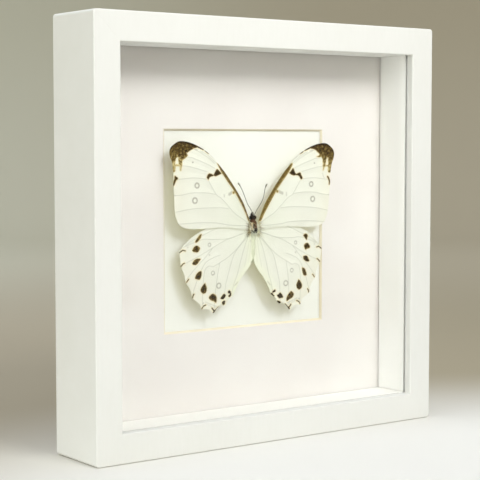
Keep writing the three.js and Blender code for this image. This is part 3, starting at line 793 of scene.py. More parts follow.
# Grey smudges: strength, half width, line
FORE_GREY_BOTH = [
    (0.85, 0.5, [(45.8, 40.8), (45.9, 40.8)]),
    (0.45, 0.4, [(57.8, 21.3), (58, 21.3)]),
    (0.85, 0.3, [(30, 43.2), (32.6, 45.2)]),
    (0.5, 0.3, [(42.4, 48.2), (44.5, 48.6)]),
]
FORE_GREY = {
    "left": [
        (0.5, 0.9, [(17, 23.2), (19.2, 21.9)]),
        (0.3, 0.6, [(23, 21.6), (23, 20.6)]),
        *FORE_GREY_BOTH,
    ],
    "right": [
        (0.5, 0.95, [(17.8, 23.4), (20.8, 22.2)]),
        (0.3, 0.6, [(24, 22.6), (24, 20.8)]),
        *FORE_GREY_BOTH,
        (0.5, 0.25, [(52.8, 34.8), (53.4, 32.6), (54.3, 31.6)]),
    ],
}
HIND_GREY = {
    side: [(0.4, 0.55, [(32.6, -14.1), (32.6, -14.4)]),
           (0.2, 0.2, [(1.6, -5), (2.3, -12), (3.4, -20)]),
           (0.24, 0.22, [(2.8, -4.5), (4.3, -13), (6.5, -22)]),
           (0.3 if side == "left" else 0.05, 0.9, [(1.3, -6.2), (1.8, -6.5)]),
           (0.4, 0.3, [(26.5, -45.5), (30, -44.3), (34.7, -42.4)]),
           (0.35, 0.25, [(26.8, -46.6), (30.4, -45.4), (34.9, -43.4)]),
           (0.5, 0.5, [(36.1, -43), (36.4, -43.1)]), (0.45, 0.35, [(11.4, -31.4), (13.6, -33.6)]),
           (0.4, 0.5, [(48, -9.2), (48.1, -9.4)])]
    for side in ("left", "right")
}


def spline_at(points, at):
    """Points on a smooth line through the given ones, evenly spread over them."""
    points = np.asarray(points, float)
    last = len(points) - 1
    place = np.asarray(at, float) * last
    step = np.minimum(np.floor(place).astype(int), last - 1)
    w = (place - step)[:, None]
    p0 = points[np.maximum(step - 1, 0)]
    p1 = points[step]
    p2 = points[step + 1]
    p3 = points[np.minimum(step + 2, last)]
    m0, m1 = (p2 - p0) / 2, (p3 - p1) / 2
    return ((2 * p1 - 2 * p2 + m0 + m1) * w ** 3 + (3 * p2 - 3 * p1 - 2 * m0 - m1) * w ** 2
            + m0 * w + p1)


def closed_smooth(points, between=4):
    """A closed outline made rounder by points between its corners."""
    looped = [points[-1], *points, points[0], points[1]]
    steps = np.linspace(0, 1, (len(looped) - 1) * between + 1)
    curve = spline_at(looped, steps)
    return curve[between:-2 * between]


def near_line(u, v, line):
    """Distance to an open line, and which side of it: + on its left."""
    line = np.asarray(line, float)
    best = np.full(u.shape, 1e9)
    side = np.ones(u.shape)
    for (au, av), (bu, bv) in zip(line[:-1], line[1:]):
        du, dv = bu - au, bv - av
        length = max(du * du + dv * dv, 1e-12)
        w = np.clip(((u - au) * du + (v - av) * dv) / length, 0, 1)
        gap = np.hypot(u - au - w * du, v - av - w * dv)
        nearer = gap < best
        best = np.where(nearer, gap, best)
        side = np.where(nearer, np.sign(du * (v - av) - dv * (u - au)), side)
    return best, side


def inside_outline(u, v, outline):
    """Distance to the outline's edge, + inside and - outside."""
    looped = np.vstack([outline, outline[:1]])
    gap, _ = near_line(u, v, looped)
    inside = np.zeros(u.shape, bool)
    for (au, av), (bu, bv) in zip(looped[:-1], looped[1:]):
        if av == bv:
            continue
        crosses = (av > v) != (bv > v)
        inside ^= crosses & (u < (bu - au) * (v - av) / (bv - av) + au)
    return np.where(inside, gap, -gap)


def marking_fields(u, v, brown, cream, strokes, rings, grey, veins):
    """The fields that the wing finish reads, one value for each point of the wing."""
    field = np.full(u.shape, -FAR)
    tone = np.zeros(u.shape)
    for darkness, outline in brown:
        depth = inside_outline(u, v, closed_smooth(outline))
        tone = np.where(depth > field, darkness, tone)
        field = np.maximum(field, depth)
    paler = np.clip(0.5 + (v - 38) / 14, 0.5, 1.2)
    tone = np.where((v > 36) & (u > 44), tone * paler, tone)
    for outline in cream:
        field = np.minimum(field, -inside_outline(u, v, closed_smooth(outline)))
    for darkness, half, line in strokes:
        depth = half - near_line(u, v, line)[0]
        tone = np.where(depth > field, darkness, tone)
        field = np.maximum(field, depth)
    grey_field = np.full(u.shape, -FAR)
    grey_strength = np.zeros(u.shape)
    for cu, cv, radius, half in rings:
        depth = half - np.abs(np.hypot(u - cu, v - cv) - radius)
        grey_strength = np.where(depth > grey_field, RING_STRENGTH, grey_strength)
        grey_field = np.maximum(grey_field, depth)
    for strength, half, line in grey:
        depth = half - near_line(u, v, line)[0]
        grey_strength = np.where(depth > grey_field, strength, grey_strength)
        grey_field = np.maximum(grey_field, depth)
    vein_gap = np.full(u.shape, FAR)
    vein_side = np.ones(u.shape)
    for vein in veins:
        gap, side = near_line(u, v, spline_at(vein, np.linspace(0, 1, 5 * len(vein))))
        vein_side = np.where(gap < vein_gap, side, vein_side)
        vein_gap = np.minimum(vein_gap, gap)
    return {
        "brown": np.clip(field, -4, 4), "brown_tone": tone,
        "grey": np.clip(grey_field, -4, 4), "grey_strength": grey_strength,
        "vein_across": vein_side * np.minimum(vein_gap, 1.5),
        "vein_near": np.exp(-(vein_gap / VEIN_BLUR) ** 2),
        "vein_gap": np.minimum(vein_gap, 5),
    }


def ripple(u, v, seed, reach):
    """Slow waves over the wing, the same on each run."""
    dice = np.random.RandomState(seed)
    total = np.zeros(u.shape)
    for _ in range(WAVES):
        angle = dice.uniform(0, 2 * math.pi)
        length = reach * dice.uniform(0.6, 1.6)
        phase = dice.uniform(0, 2 * math.pi)
        total += np.sin((u * math.cos(angle) + v * math.sin(angle)) * 2 * math.pi / length + phase)
    return total / WAVES


def make_wing(name, wing, side, markings, seed):
    """A grid pulled over the wing's outline, veined and pleated, then given its thickness."""
    across, up = wing["cells"]
    put_down()
    bpy.ops.mesh.primitive_grid_add(x_subdivisions=across, y_subdivisions=up, size=1)
    piece = settle(bpy.context.object, name)
    flat = own_places(piece)
    s, t = np.clip(flat[:, 0] + 0.5, 0, 1), np.clip(flat[:, 1] + 0.5, 0, 1)
    s1, t1 = s[:, None], t[:, None]
    root_hind, root_front, tip_hind, tip_front = (
        np.array(point, float) for point in (wing["root"][0], wing["root"][-1],
                                             wing["outer"][0], wing["outer"][-1]))
    place = (spline_at(wing["front"], s) * t1 + spline_at(wing["hind"], s) * (1 - t1)
             + spline_at(wing["outer"], t) * s1 + spline_at(wing["root"], t) * (1 - s1)
             - root_hind * (1 - s1) * (1 - t1) - root_front * (1 - s1) * t1
             - tip_hind * s1 * (1 - t1) - tip_front * s1 * t1)
    u, v = place[:, 0], place[:, 1]
    fields = marking_fields(u, v, *markings)
    fields["from_root"] = s
    fields["from_hind"] = t
    margin = near_line(u, v, wing["hind"])[0] if wing is HINDWING else FAR
    fields["inner_margin"] = np.exp(-(margin / INNER_MARGIN) ** 2) * np.ones(u.shape)
    inset = np.clip(np.minimum(np.minimum(t, 1 - t) * 6, np.minimum(s, 1 - s) * 8), 0, 1)
    ridge = np.exp(-(fields["vein_gap"] / VEIN_WIDTH) ** 2)
    sag = 1 - np.exp(-(fields["vein_gap"] / PLEAT_WIDTH) ** 2)
    depth = (wing["depth"] - WING_BOW * np.sin(math.pi * s) * np.sin(math.pi * t)
             + PLEAT_SAG * sag * inset - VEIN_RIDGE * ridge
             + WAVE_HEIGHT * ripple(u, v, seed, LONG_WAVE)
             + WAVE_HEIGHT * ripple(u, v, seed + 1, SHORT_WAVE) * s ** 3)
    reshape(piece, np.column_stack([-u if side == "left" else u, depth, v * STRETCH[side]]))
    for key, values in fields.items():
        store = piece.data.attributes.new(key, "FLOAT", "POINT")
        store.data.foreach_set("value", np.asarray(values, np.float32))
    if piece.data.polygons[0].normal.y > 0:
        take_up(piece, editing=True)
        bpy.ops.mesh.select_all(action="SELECT")
        bpy.ops.mesh.flip_normals()
    add_modifier(piece, "SOLIDIFY", thickness=WING_THICKNESS * MM, offset=0)
    take_up(piece)
    bpy.ops.object.shade_smooth_by_angle(angle=math.radians(50))
    return piece


def wing_finish():
    """Overlapping ivory scales with brown, grey and cream markings and fine grey veins."""
    wing = Finish("ivory_wing_scales", Roughness=0.72, Specular_IOR_Level=0.15)
    frayed = wing.noise(2200.0, 3.0, 0.6)
    soft = wing.noise(420.0, 3.0, 0.6)
    cloud = wing.noise(70.0, 4.0, 0.6)
    jitter = wing.sums("MULTIPLY_ADD", wing.centred(frayed), 0.9,
                       wing.sums("MULTIPLY", wing.centred(soft), 0.5))

    root = wing.measure("from_root")
    hind = wing.measure("from_hind")
    ivory = wing.blend(wing.ramp(cloud, 0.3, 0.7), shade(230, 230, 217), shade(226, 226, 212))
    green = wing.ramp(root, 0.0, 0.6, 0.6, 0.0)
    ivory = wing.blend(green, ivory, shade(219, 222, 203))
    ivory = wing.blend(wing.ramp(root, 0.65, 1.0), ivory, shade(229, 227, 211))
    ivory = wing.blend(wing.measure("inner_margin"), ivory, shade(229, 231, 208))
    powder = wing.ramp(frayed, 0.35, 0.75, 0.0, 0.1)
    ivory = wing.blend(powder, ivory, shade(224, 222, 200))

    across = wing.measure("vein_across")
    near = wing.ramp(wing.measure("vein_near"), 0.25, 0.6)
    thin = wing.ramp(wing.sums("ABSOLUTE", across), 0.06, 0.3, 1.0, 0.0)
    line = wing.sums("MULTIPLY", thin, near)
    body = wing.blend(wing.sums("MULTIPLY", line, 0.5), ivory, shade(168, 170, 150))

    grey_edge = wing.sums("MULTIPLY_ADD", jitter, 0.6, wing.measure("grey"))
    grey = wing.sums("MULTIPLY", wing.ramp(grey_edge, -0.35, 0.45), wing.measure("grey_strength"))
    body = wing.blend(grey, body, shade(140, 136, 116))

    edge = wing.sums("MULTIPLY_ADD", jitter, 0.6, wing.measure("brown"))
    mask = wing.ramp(edge, -0.2, 0.2)
    patches = wing.noise(640.0, 4.0, 0.7)
    mottle = wing.sums("MULTIPLY_ADD", wing.centred(patches), 2.1,
                       wing.sums("MULTIPLY", wing.centred(frayed), 1.3))
    mottle = wing.sums("MULTIPLY", mottle, wing.ramp(root, 0.5, 0.75, 0.45, 1.0))
    rich = wing.sums("ADD", mottle, wing.measure("brown_tone"))
    rich = wing.sums("MULTIPLY", rich, wing.ramp(wing.measure("brown"), -0.1, 1.2, 0.62, 1.0))
    costal = wing.sums("MULTIPLY", wing.ramp(hind, 0.93, 0.985), wing.ramp(root, 0.66, 0.74))
    rich = wing.sums("MULTIPLY_ADD", costal, 0.24, rich)
    brown = wing.blend(wing.ramp(rich, 0.1, 0.4), shade(206, 190, 138), shade(150, 131, 73))
    brown = wing.blend(wing.ramp(rich, 0.34, 0.62), brown, shade(90, 68, 22))
    brown = wing.blend(wing.ramp(rich, 0.64, 0.95), brown, shade(34, 23, 5))
    fringe = wing.ramp(edge, -0.9, -0.1, 0.0, 0.65)
    body = wing.blend(fringe, body, shade(226, 212, 166))
    colour = wing.blend(mask, body, brown)

    rows = wing.cells(7000.0)
    height = wing.sums("MULTIPLY_ADD", rows, 0.5, wing.sums("MULTIPLY", frayed, 0.6))
    height = wing.sums("ADD", height, wing.sums("MULTIPLY", line, 1.2))
    wing.give(Base_Color=colour, Normal=wing.bump(height, 0.25, 0.0001),
              Roughness=wing.ramp(mask, 0, 1, 0.75, 0.62))
    wing.let_light_through(wing.blend(mask, shade(219, 215, 189), shade(180, 168, 134)))
    return wing.material


def wings(finish):
    for turn, side in enumerate(("left", "right")):
        fore = (FORE_BROWN[side], FORE_CREAM[side], FORE_STROKES[side], FORE_RINGS[side],
                FORE_GREY[side], FORE_VEINS)
        hind = (HIND_BROWN[side], [], HIND_STROKES, HIND_RINGS, HIND_GREY[side], HIND_VEINS)
        for kind, shape, markings, seed in (("forewing_", FOREWING, fore, 11),
                                            ("hindwing_", HINDWING, hind, 21)):
            wing = make_wing(kind + side, shape, side, markings, seed + turn)
            hand_over(wing, "wing_scales", finish, kind + side)


# ---- Body and antennae ----------------------------------------------------------------
# Along the body: place up the body, half width, half depth and how far back its axis lies.

BODY_LINE = [
    (9.2, 0.01, 0.01, 1.4), (8.7, 1.2, 1.1, 1.4), (7.6, 1.8, 1.6, 1.4), (6.3, 1.5, 1.4, 1.4),
    (5, 2.3, 2.4, 1.5), (3, 2.5, 3, 1.5), (0.8, 2.6, 3.1, 1.5), (-1.6, 2.2, 2.6, 1.9),
    (-3.8, 1.8, 1.8, 1.9), (-6.5, 1.9, 1.8, 1.8), (-10, 2, 1.8, 1.8), (-14, 1.9, 1.7, 1.8),
    (-17.8, 1.4, 1.2, 1.7), (-20, 0.01, 0.01, 1.7)]
ANTENNAE = {
    "left": [(-0.9, 10.2), (-3, 13.4), (-5, 16), (-6.9, 20), (-8.6, 23.4), (-10.6, 26.6),
             (-12.4, 28.8)],
    "right": [(0.9, 10.2), (3, 13.4), (5, 16), (6.7, 19), (7.6, 22.2), (8.3, 25.6), (9.8, 28.2)],
}
LEG_LINE = [(0.8, 3, 1.5), (2.6, 5.4, 2.6), (3.4, 6.2, 1.4), (2.2, 6.6, -1.6), (1.7, 6.9, -5)]


def on_specimen(points):
    """From the specimen's own places (across, depth, up) to the frame's, in mm."""
    points = np.asarray(points, float)
    lean_c, lean_s = math.cos(SPECIMEN_LEAN), math.sin(SPECIMEN_LEAN)
    x, y, z = points[:, 0], points[:, 1], points[:, 2]
    return np.column_stack([x * lean_c + z * lean_s, WING_PLANE_Y + y,
                            SPECIMEN_Z - x * lean_s + z * lean_c])


def reshape(piece, places):
    piece.data.vertices.foreach_set("co", (on_specimen(places) * MM).ravel())
    piece.data.update()


def own_places(piece):
    flat = np.empty(len(piece.data.vertices) * 3)
    piece.data.vertices.foreach_get("co", flat)
    return flat.reshape(-1, 3)


def colour_points(piece, colours):
    store = piece.data.color_attributes.new("hair_colour", "FLOAT_COLOR", "POINT")
    store.data.foreach_set("color", np.array(colours, np.float32).ravel())


def body_at(station):
    """Half width, half depth and axis depth at places up the body."""
    line = np.array(BODY_LINE[::-1])
    return [np.interp(station, line[:, 0], line[:, column]) for column in (1, 2, 3)]


def body_core(finish):
    """A ball drawn out into head, thorax and a ringed abdomen."""
    put_down()
    bpy.ops.mesh.primitive_uv_sphere_add(segments=40, ring_count=110, radius=1)
    piece = settle(bpy.context.object, "body")
    ball = own_places(piece)
    along = np.arccos(np.clip(ball[:, 2], -1, 1)) / math.pi
    turn = np.arctan2(ball[:, 1], ball[:, 0])
    stations = spline_at(BODY_LINE, along)
    width, deep = np.maximum(stations[:, 1], 0.01), np.maximum(stations[:, 2], 0.01)
    poles = (along < 1e-4) | (along > 1 - 1e-4)
    rings = 1 - 0.07 * np.abs(np.sin(math.pi * stations[:, 0] / 2.3)) ** 6 * (stations[:, 0] < -4.5)
    rough = 1 + 0.05 * ripple(turn * 3, stations[:, 0] * 2, 5, 2.5)
    scale = np.where(poles, 0.0, rings * rough)
    places = np.column_stack([width * scale * np.cos(turn),
                              stations[:, 3] + deep * scale * np.sin(turn), stations[:, 0]])
    reshape(piece, places)
    colour_points(piece, [hair_colour(u, v, 0.3) for u, _, v in places])
    face_outwards(piece)
    smooth(piece)
    hand_over(piece, "body_fur", finish, "body")


def tube(name, line, radii, sides, finish, slot):
    """A round bar along a smooth line, closed at both ends."""
    count = len(radii)
    path = spline_at(line, np.linspace(0, 1, count))
    ahead = np.gradient(path, axis=0)
    ahead /= np.linalg.norm(ahead, axis=1)[:, None]
    aside = np.cross(ahead, (0.0, 1.0, 0.02))
    aside /= np.linalg.norm(aside, axis=1)[:, None]
    over = np.cross(ahead, aside)
    turns = np.linspace(0, 2 * math.pi, sides, endpoint=False)
    points = [path[i] + radii[i] * (math.cos(t) * aside[i] + math.sin(t) * over[i])
              for i in range(count) for t in turns]
    points += [path[0], path[-1]]
    faces = []
    for i in range(count - 1):
        for j in range(sides):
            k = (j + 1) % sides
            faces.append((i * sides + j, i * sides + k, (i + 1) * sides + k, (i + 1) * sides + j))
    first, last = count * sides, count * sides + 1
    for j in range(sides):
        k = (j + 1) % sides
        faces.append((first, k, j))
        faces.append((last, (count - 1) * sides + j, (count - 1) * sides + k))
    piece = sculpted(name, on_specimen(points), faces)
    face_outwards(piece)
    smooth(piece)
    hand_over(piece, slot, finish)
    return piece


def antennae(finish):
    """Thin ringed feelers that end in slim clubs."""
    along = np.linspace(0, 1, 120)
    for side, line in ANTENNAE.items():
        club = np.exp(-((along - 0.93) / 0.05) ** 2) * 0.3
        radii = 0.2 + club + 0.025 * np.sin(along * 2 * math.pi * 30)
        radii *= np.clip((1.0 - along) / 0.02, 0.25, 1)
        socket = (math.copysign(0.6, line[0][0]), 0.9, 8.3)
        feeler = tube("antenna_" + side, [socket] + [(u, 0.2, v) for u, v in line], radii, 10,
                      finish, "antenna_horn")
        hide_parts("antenna_" + side)


def legs(finish):
    along = np.linspace(0, 1, 40)
    for side, sign in (("left", -1), ("right", 1)):
        for pair, shift in (("rear", 0), ("front", 2)):
            line = [(sign * x, y, z + shift) for x, y, z in LEG_LINE]
            radii = 0.36 - 0.2 * along + 0.05 * np.cos(along * 2 * math.pi * 4)
            tube("leg_%s_%s" % (pair, side), line, radii, 8, finish, "body_fur")


def head(finish, eye_material):
    """Two round eyes and the pair of short furry palps between them."""
    for side, sign in (("left", -1), ("right", 1)):
        put_down()
        bpy.ops.mesh.primitive_ico_sphere_add(subdivisions=4, radius=1)
        eye = settle(bpy.context.object, "eye_" + side)
        ball = own_places(eye)
        reshape(eye, ball * (0.95, 1.05, 1.15) + (sign * 1.5, 1.2, 7.7))
        smooth(eye)
        hand_over(eye, "body_fur", eye_material)
        along = np.linspace(0, 1, 16)
        tube("palp_" + side, [(sign * 0.5 - 1.0, 0.8, 7.8), (sign * 0.45 - 0.9, 0.7, 9.4),
                              (sign * 0.25 - 0.7, 0.7, 11)],
             0.62 * (1 - along) ** 0.6 * (0.7 + along) + 0.05, 10, finish, "body_fur")


def hair_colour(u, v, chance):
    """Black on the head; black, rust and rose streaks on the thorax; pale below it."""
    black, umber, rust = shade(9, 5, 1), shade(58, 38, 16), shade(92, 58, 28)
    rose, silver, slate = shade(232, 217, 178), shade(239, 241, 216), shade(44, 43, 26)
    tan, pale = shade(158, 138, 76), shade(231, 235, 210)
    u += 1.3
    if v > 6.6:
        return black if u < 1.2 or chance < 0.4 else umber
    if v > 4.6:
        return rose if u < -1.8 else (rust if chance < 0.5 else umber if chance < 0.8 else tan)
    if v < -2.6:
        return tan if chance < 0.05 else pale
    if -2.0 < u < -0.8 and 0.3 < v < 4.2:
        return black if chance < 0.9 else umber
    if -0.1 < u < 0.7 and 1.4 < v < 3.9:
        return black if chance < 0.9 else rust
    if u > 0.6 and -0.9 < v < 1.5:
        return black if chance < 0.9 else slate
    if -0.8 < u < -0.1 and v > 0.4:
        return rose if chance < 0.92 else umber
    if -1.4 < u < 2 and v <= 1.4:
        light = 0.95 if v < -1.5 else 0.5 + 0.4 * math.sin(2.6 * u + 3.1 * v)
        return silver if chance < light else (slate if chance > 0.9 else black)
    if u > 0.6 and v > 1.4:
        return rust if chance < 0.4 else rose
    if v < 0:
        return tan if chance < 0.12 else pale
    return tan if chance < 0.5 else umber


def grow_hairs(name, hairs, thickness, droop, dice, finish, colour_of=hair_colour):
    """Tapering hairs, each with three sides and three joints, bent towards the tail."""
    points, faces, colours = [], [], []
    for root, way, length in hairs:
        way = Vector(way).normalized()
        bend = Vector((dice.uniform(-0.3, 0.3), dice.uniform(-0.2, 0.2), -droop))
        aside = way.orthogonal().normalized()
        over = way.cross(aside)
        start = len(points)
        for share in (0.0, 0.4, 0.75):
            spot = Vector(root) + way * length * share + bend * length * share * share
            radius = thickness * (1 - 0.75 * share)
            for corner in range(3):
                angle = 2 * math.pi * corner / 3
                points.append(spot + (aside * math.cos(angle) + over * math.sin(angle)) * radius)
        points.append(Vector(root) + way * length + bend * length)
        for joint in range(2):
            for corner in range(3):
                after = (corner + 1) % 3
                low, high = start + 3 * joint, start + 3 * joint + 3
                faces.append((low + corner, low + after, high + after, high + corner))
        for corner in range(3):
            faces.append((start + 6 + corner, start + 6 + (corner + 1) % 3, start + 9))
        faces.append((start + 2, start + 1, start))
        tint = colour_of(root[0], root[2], dice.random())
        colours += [tint] * 10
    piece = sculpted(name, on_specimen([tuple(point) for point in points]), faces)
    colour_points(piece, colours)
    smooth(piece)
    hand_over(piece, "body_fur", finish)


def fur(finish):
    """Root, way and length of each hair, drawn by one dice from the thorax to the wing bases."""
    dice = random.Random(41)

    def on_body(low, high, share):
        """A root on the body between two heights, and the way out from there."""
        v, turn = dice.uniform(low, high), dice.uniform(0, 2 * math.pi)
        width, deep, axis = body_at(v)
        right, back = math.cos(turn), math.sin(turn)
        return (width * share * right, axis + deep * share * back, v), right, back

    hairs = []
    for _ in range(1000):
        root, right, back = on_body(-3.5, 6.2, 0.93)
        way = (right * 0.45 + dice.uniform(-0.12, 0.12), back * 0.45 + dice.uniform(-0.12, 0.12),
               dice.uniform(-1.2, -0.3))
        hairs.append((root, way, dice.uniform(0.6, 1.4)))
    grow_hairs("thorax_fur", hairs, 0.07, 0.35, dice, finish)

    hairs = []
    for _ in range(520):
        root, right, back = on_body(6.2, 9.6, 0.9)
        way = (right + dice.uniform(-0.3, 0.3), back * 0.7,
               dice.uniform(-0.4, 0.9 if right < 0 else 0.2))
        hairs.append((root, way, dice.uniform(0.4, 0.9)))
    for _ in range(90):
        root = (dice.uniform(-1.6, -0.2), dice.uniform(0.4, 1.4), dice.uniform(8.4, 9.4))
        way = (dice.uniform(-0.2, 0.3), dice.uniform(-0.3, 0.2), 1)
        hairs.append((root, way, dice.uniform(0.8, 1.5)))
    for _ in range(160):
        root = (dice.uniform(-2.2, -1.2), dice.uniform(-0.4, 1.2), dice.uniform(6.8, 8))
        way = (-1, dice.uniform(-0.4, 0.1), dice.uniform(-0.5, 0.3))
        hairs.append((root, way, dice.uniform(0.8, 1.8)))
    grow_hairs("head_fur", hairs, 0.07, -0.05, dice, finish)

    hairs = []
    for _ in range(700):
        root, right, back = on_body(-19, -4, 0.92)
        hairs.append((root, (right * 0.5, back * 0.4, -1.0), dice.uniform(0.8, 1.6)))
    grow_hairs("abdomen_fur", hairs, 0.06, 0.1, dice, finish)

    hairs = []
    for _ in range(380):
        side, v = dice.choice((-1, 1)), dice.uniform(-3.5, 5)
        root = (side * dice.uniform(2.3, 3.4), dice.uniform(-0.5, -0.1), v)
        way = (side, dice.uniform(-0.4, -0.2), (v - 1.5) * 0.2 + dice.uniform(-0.3, 0.3))
        hairs.append((root, way, dice.uniform(0.8, 2.0)))
    grow_hairs("wing_base_down", hairs, 0.05, 0.05, dice, finish,
               lambda u, v, chance: shade(232, 222, 172) if chance < 0.4 else shade(240, 240, 214))

    hairs = []
    for _ in range(88):
        side, v = dice.choice((-1, -1, 1)), dice.uniform(-3, 4.5)
        reach = dice.uniform(2.2, 4.4)
        root = (side * reach, dice.uniform(-0.4, -0.1) - 0.12 * (reach - 2.2), v)
        way = (side, dice.uniform(-0.42, -0.3), (v - 1) * 0.26 + dice.uniform(-0.4, 0.4))
        hairs.append((root, way, dice.uniform(1.6, 4.4)))
    grow_hairs("wing_base_hairs", hairs, 0.085, 0.12, dice, finish,
               lambda u, v, chance: shade(88, 70, 32) if chance < 0.5 else shade(176, 154, 98))


def hair_finish():
    hair = Finish("fine_hair", Roughness=0.85, Specular_IOR_Level=0.0)
    tint = hair.measure("hair_colour", "Color")
    streak = hair.noise(1500.0, 3.0, 0.6)
    hair.give(Base_Color=hair.blend(hair.ramp(streak, 0.3, 0.75, 0.0, 0.04), tint,
                                    shade(120, 98, 50)))
    return hair.material


def body_finish():
    """Dark brown on head and thorax, passing into a dull greenish cream abdomen."""
    skin = Finish("body_hide", Roughness=0.75)
    mottled = skin.noise(900.0, 4.0, 0.65)
    shifted = skin.sums("MULTIPLY_ADD", skin.centred(mottled), 0.004, skin.height())
    dark = skin.blend(skin.ramp(mottled, 0.3, 0.7), shade(30, 20, 10), shade(66, 46, 26))
    pale = skin.blend(skin.ramp(mottled, 0.3, 0.7), shade(236, 238, 208), shade(218, 220, 184))
    pale = skin.blend(skin.ramp(shifted, 0.1195, 0.1225), pale, dark)
    colour = skin.blend(0.3, skin.measure("hair_colour", "Color"), pale)
    skin.give(Base_Color=colour, Normal=skin.bump(mottled, 0.5, 0.0002))
    return skin.material


def horn_finish():
    horn = Finish("antenna_horn", Roughness=0.55)
    rings = horn.noise(1400.0, 2.0, 0.5, horn.stretched(0.4, 0.4, 1))
    horn.give(Base_Color=horn.blend(horn.ramp(rings, 0.35, 0.65), shade(112, 110, 96),
                                    shade(150, 148, 130)),
              Normal=horn.bump(rings, 0.4, 0.0001))
    return horn.material


def eye_finish():
    eye = Finish("compound_eye", Roughness=0.45, Specular_IOR_Level=0.15)
    facets = eye.cells(9000.0)
    patch = eye.noise(700.0, 2.0)
    eye.give(Base_Color=eye.blend(eye.ramp(patch, 0.35, 0.65), shade(22, 14, 6), shade(44, 28, 12)),
             Normal=eye.bump(facets, 0.4, 0.00005))
    return eye.material


# ---- Steel on the back, and the pin ------------------------------------------------------

TAB_FRONT_Y, TAB_BACK_Y, TAB_WIDTH, TAB_REACH, TAB_IN_WALL = 16.7, 17.3, 12, 21, 3.5
TAB_CORNER, TAB_OFFSET, TAB_BEND_FROM, TAB_LIFT, TAB_CUTS, CUT_STEP = 4, 60, 12.5, 0.6, 9, 0.9
HANGER_Z, HANGER_HEIGHT, HANGER_HALF, HANGER_TEETH, TOOTH_DEPTH = 214, 9, 21, 9, 1.8
HANGER_BACK_Y, HANGER_FACE_Y, FOOT_Y, FOOT_FROM = 18.3, 19.3, 16.7, 14
RIVET_X, RIVET_Y, RIVET_RADIUS, RIVET_HEAD, RIVET_DOME = 17.5, 19.6, 1.9, 0.8, 0.55
RING_INSET, RING_WIDTH, RING_DEPTH = 0.9, 0.12, 0.15
PIN_RADIUS, PIN_POINT, PIN_TAPER = 0.3, 0.9, 0.25


def cut_across(axis, places):
    """Adds edges across the piece in edit mode, without taking anything away."""
    normal = [float(key == axis) for key in "xyz"]
    for place in places:
        saw([along * place * MM for along in normal], normal)


def bent_tabs(steel):
    """Thin tabs pushed into the wall and bent up a little at their round ends."""
    tab = block("tab", (-TAB_WIDTH / 2, TAB_FRONT_Y, WALL_THICKNESS - TAB_IN_WALL),
                (TAB_WIDTH / 2, TAB_BACK_Y, TAB_REACH))
    take_up(tab, editing=True)
    pick("EDGE", lambda edge: abs(run_of(edge).y) > FACING and middle(edge).z > TAB_REACH - CLOSE)
    bpy.ops.mesh.bevel(offset=TAB_CORNER * MM, segments=7, affect="EDGES")
    cut_across("z", [TAB_BEND_FROM + step * CUT_STEP for step in range(TAB_CUTS)])
    put_down()
    for vertex in tab.data.vertices:
        past = max(0.0, vertex.co.z / MM - TAB_BEND_FROM) / (TAB_REACH - TAB_BEND_FROM)
        vertex.co.y += TAB_LIFT * past ** 1.6 * MM
    soften(tab, 0.1, 2, 40)
    for index in range(8):
        name = "tab_%d" % (index + 1)
        copy = twin(tab, name)
        turn = -(index // 2) * math.pi / 2
        aside = TAB_OFFSET if index % 2 else -TAB_OFFSET
        for vertex in copy.data.vertices:
            x, z = vertex.co.x + aside * MM, vertex.co.z - HALF_SIDE * MM
            vertex.co.x = x * math.cos(turn) + z * math.sin(turn)
            vertex.co.z = HALF_SIDE * MM - x * math.sin(turn) + z * math.cos(turn)
        copy.data.update()
        hand_over(copy, "steel", steel, name)
    bpy.data.objects.remove(tab)


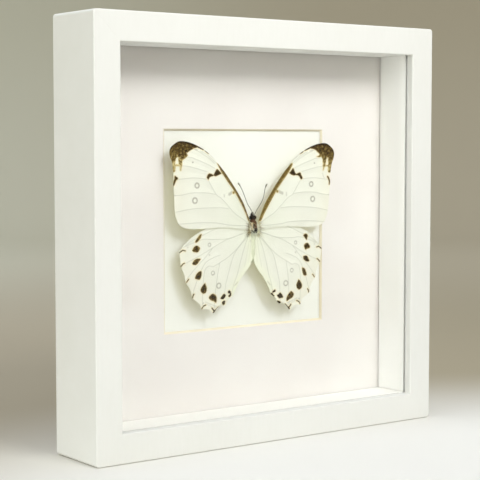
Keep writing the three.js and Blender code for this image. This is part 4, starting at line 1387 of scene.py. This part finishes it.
def saw_tooth_hanger(steel):
    """A toothed plate on two pressed feet, held by two domed rivets."""
    plate = block("hanger_plate", (-HANGER_HALF, HANGER_BACK_Y, HANGER_Z),
                  (HANGER_HALF, HANGER_FACE_Y, HANGER_Z + HANGER_HEIGHT))
    toothed = HANGER_HALF - HANGER_HEIGHT
    pitch = 2 * toothed / HANGER_TEETH
    take_up(plate, editing=True)
    cut_across("x", [-FOOT_FROM, FOOT_FROM] + [-toothed + step * pitch / 2
                                               for step in range(2 * HANGER_TEETH + 1)])
    pick("FACE", lambda face: face.normal.y < -FACING
         and abs(face.calc_center_median().x / MM) > FOOT_FROM)
    extrude_back(FOOT_Y - HANGER_BACK_Y)
    put_down()
    for vertex in plate.data.vertices:
        step = (vertex.co.x / MM + toothed) / (pitch / 2)
        low = vertex.co.z / MM < HANGER_Z + CLOSE
        if low and 0 < step < 2 * HANGER_TEETH - 0.5 and round(step) % 2 == 1:
            vertex.co.z += TOOTH_DEPTH * MM
    soften(plate, 0.12, 2, 30)
    hand_over(plate, "steel", steel, "hanger_plate")
    rivet_z = HANGER_Z + HANGER_HEIGHT / 2
    for name, x in (("hanger_rivet_1", -RIVET_X), ("hanger_rivet_2", RIVET_X)):
        rivet = rod(name, (x * MM, (RIVET_Y + RIVET_HEAD / 2) * MM, rivet_z * MM),
                    RIVET_RADIUS * MM, RIVET_HEAD * MM, 40)
        take_up(rivet, editing=True)
        pick("FACE", lambda face: face.normal.y > FACING)
        bpy.ops.mesh.inset(thickness=RING_INSET * MM)
        bpy.ops.mesh.inset(thickness=RING_WIDTH * MM, depth=-RING_DEPTH * MM)
        pick("EDGE", lambda edge: middle(edge).y > RIVET_Y + RIVET_HEAD - 0.01
             and math.hypot(middle(edge).x - x, middle(edge).z - rivet_z) > RIVET_RADIUS - CLOSE)
        bpy.ops.mesh.bevel(offset=RIVET_DOME * MM, segments=5, affect="EDGES")
        soften(rivet, 0, angle=30)
        hand_over(rivet, "steel", steel, name)


def mounting_pin(steel):
    """A plain pin from the thorax into the board, tapered at its point."""
    low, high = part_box("mounting_pin")
    pin = rod("mounting_pin", [(a + b) / 2 for a, b in zip(low, high)], PIN_RADIUS * MM,
              high[1] - low[1], 24)
    take_up(pin, editing=True)
    cut_across("y", [high[1] / MM - PIN_POINT])
    pick("FACE", lambda face: face.normal.y > FACING)
    bpy.ops.transform.resize(value=(PIN_TAPER, 1, PIN_TAPER))
    soften(pin, 0.04, 2, 30)
    hand_over(pin, "steel", steel, "mounting_pin")


# ---- The whole object ---------------------------------------------------------------

set_camera()
studio_bowl()
set_lights()
paint = white_paint()
frame_rails(paint)
spacer_strips(spacer_paint())
glass_sheet(clear_glass())
window_mat(card("mat_card_face", shade(233, 229, 224), shade(229, 224, 219)),
           card("mat_card_core", shade(236, 228, 206), shade(228, 217, 190)))
mount_and_backing(card("ivory_mount_card", shade(239, 239, 231), shade(235, 235, 226)),
                  hardboard())
wings(wing_finish())
hide, hair = body_finish(), hair_finish()
body_core(hide)
head(hide, eye_finish())
legs(hide)
antennae(horn_finish())
fur(hair)
steel = zinc_steel()
bent_tabs(steel)
saw_tooth_hanger(steel)
mounting_pin(steel)
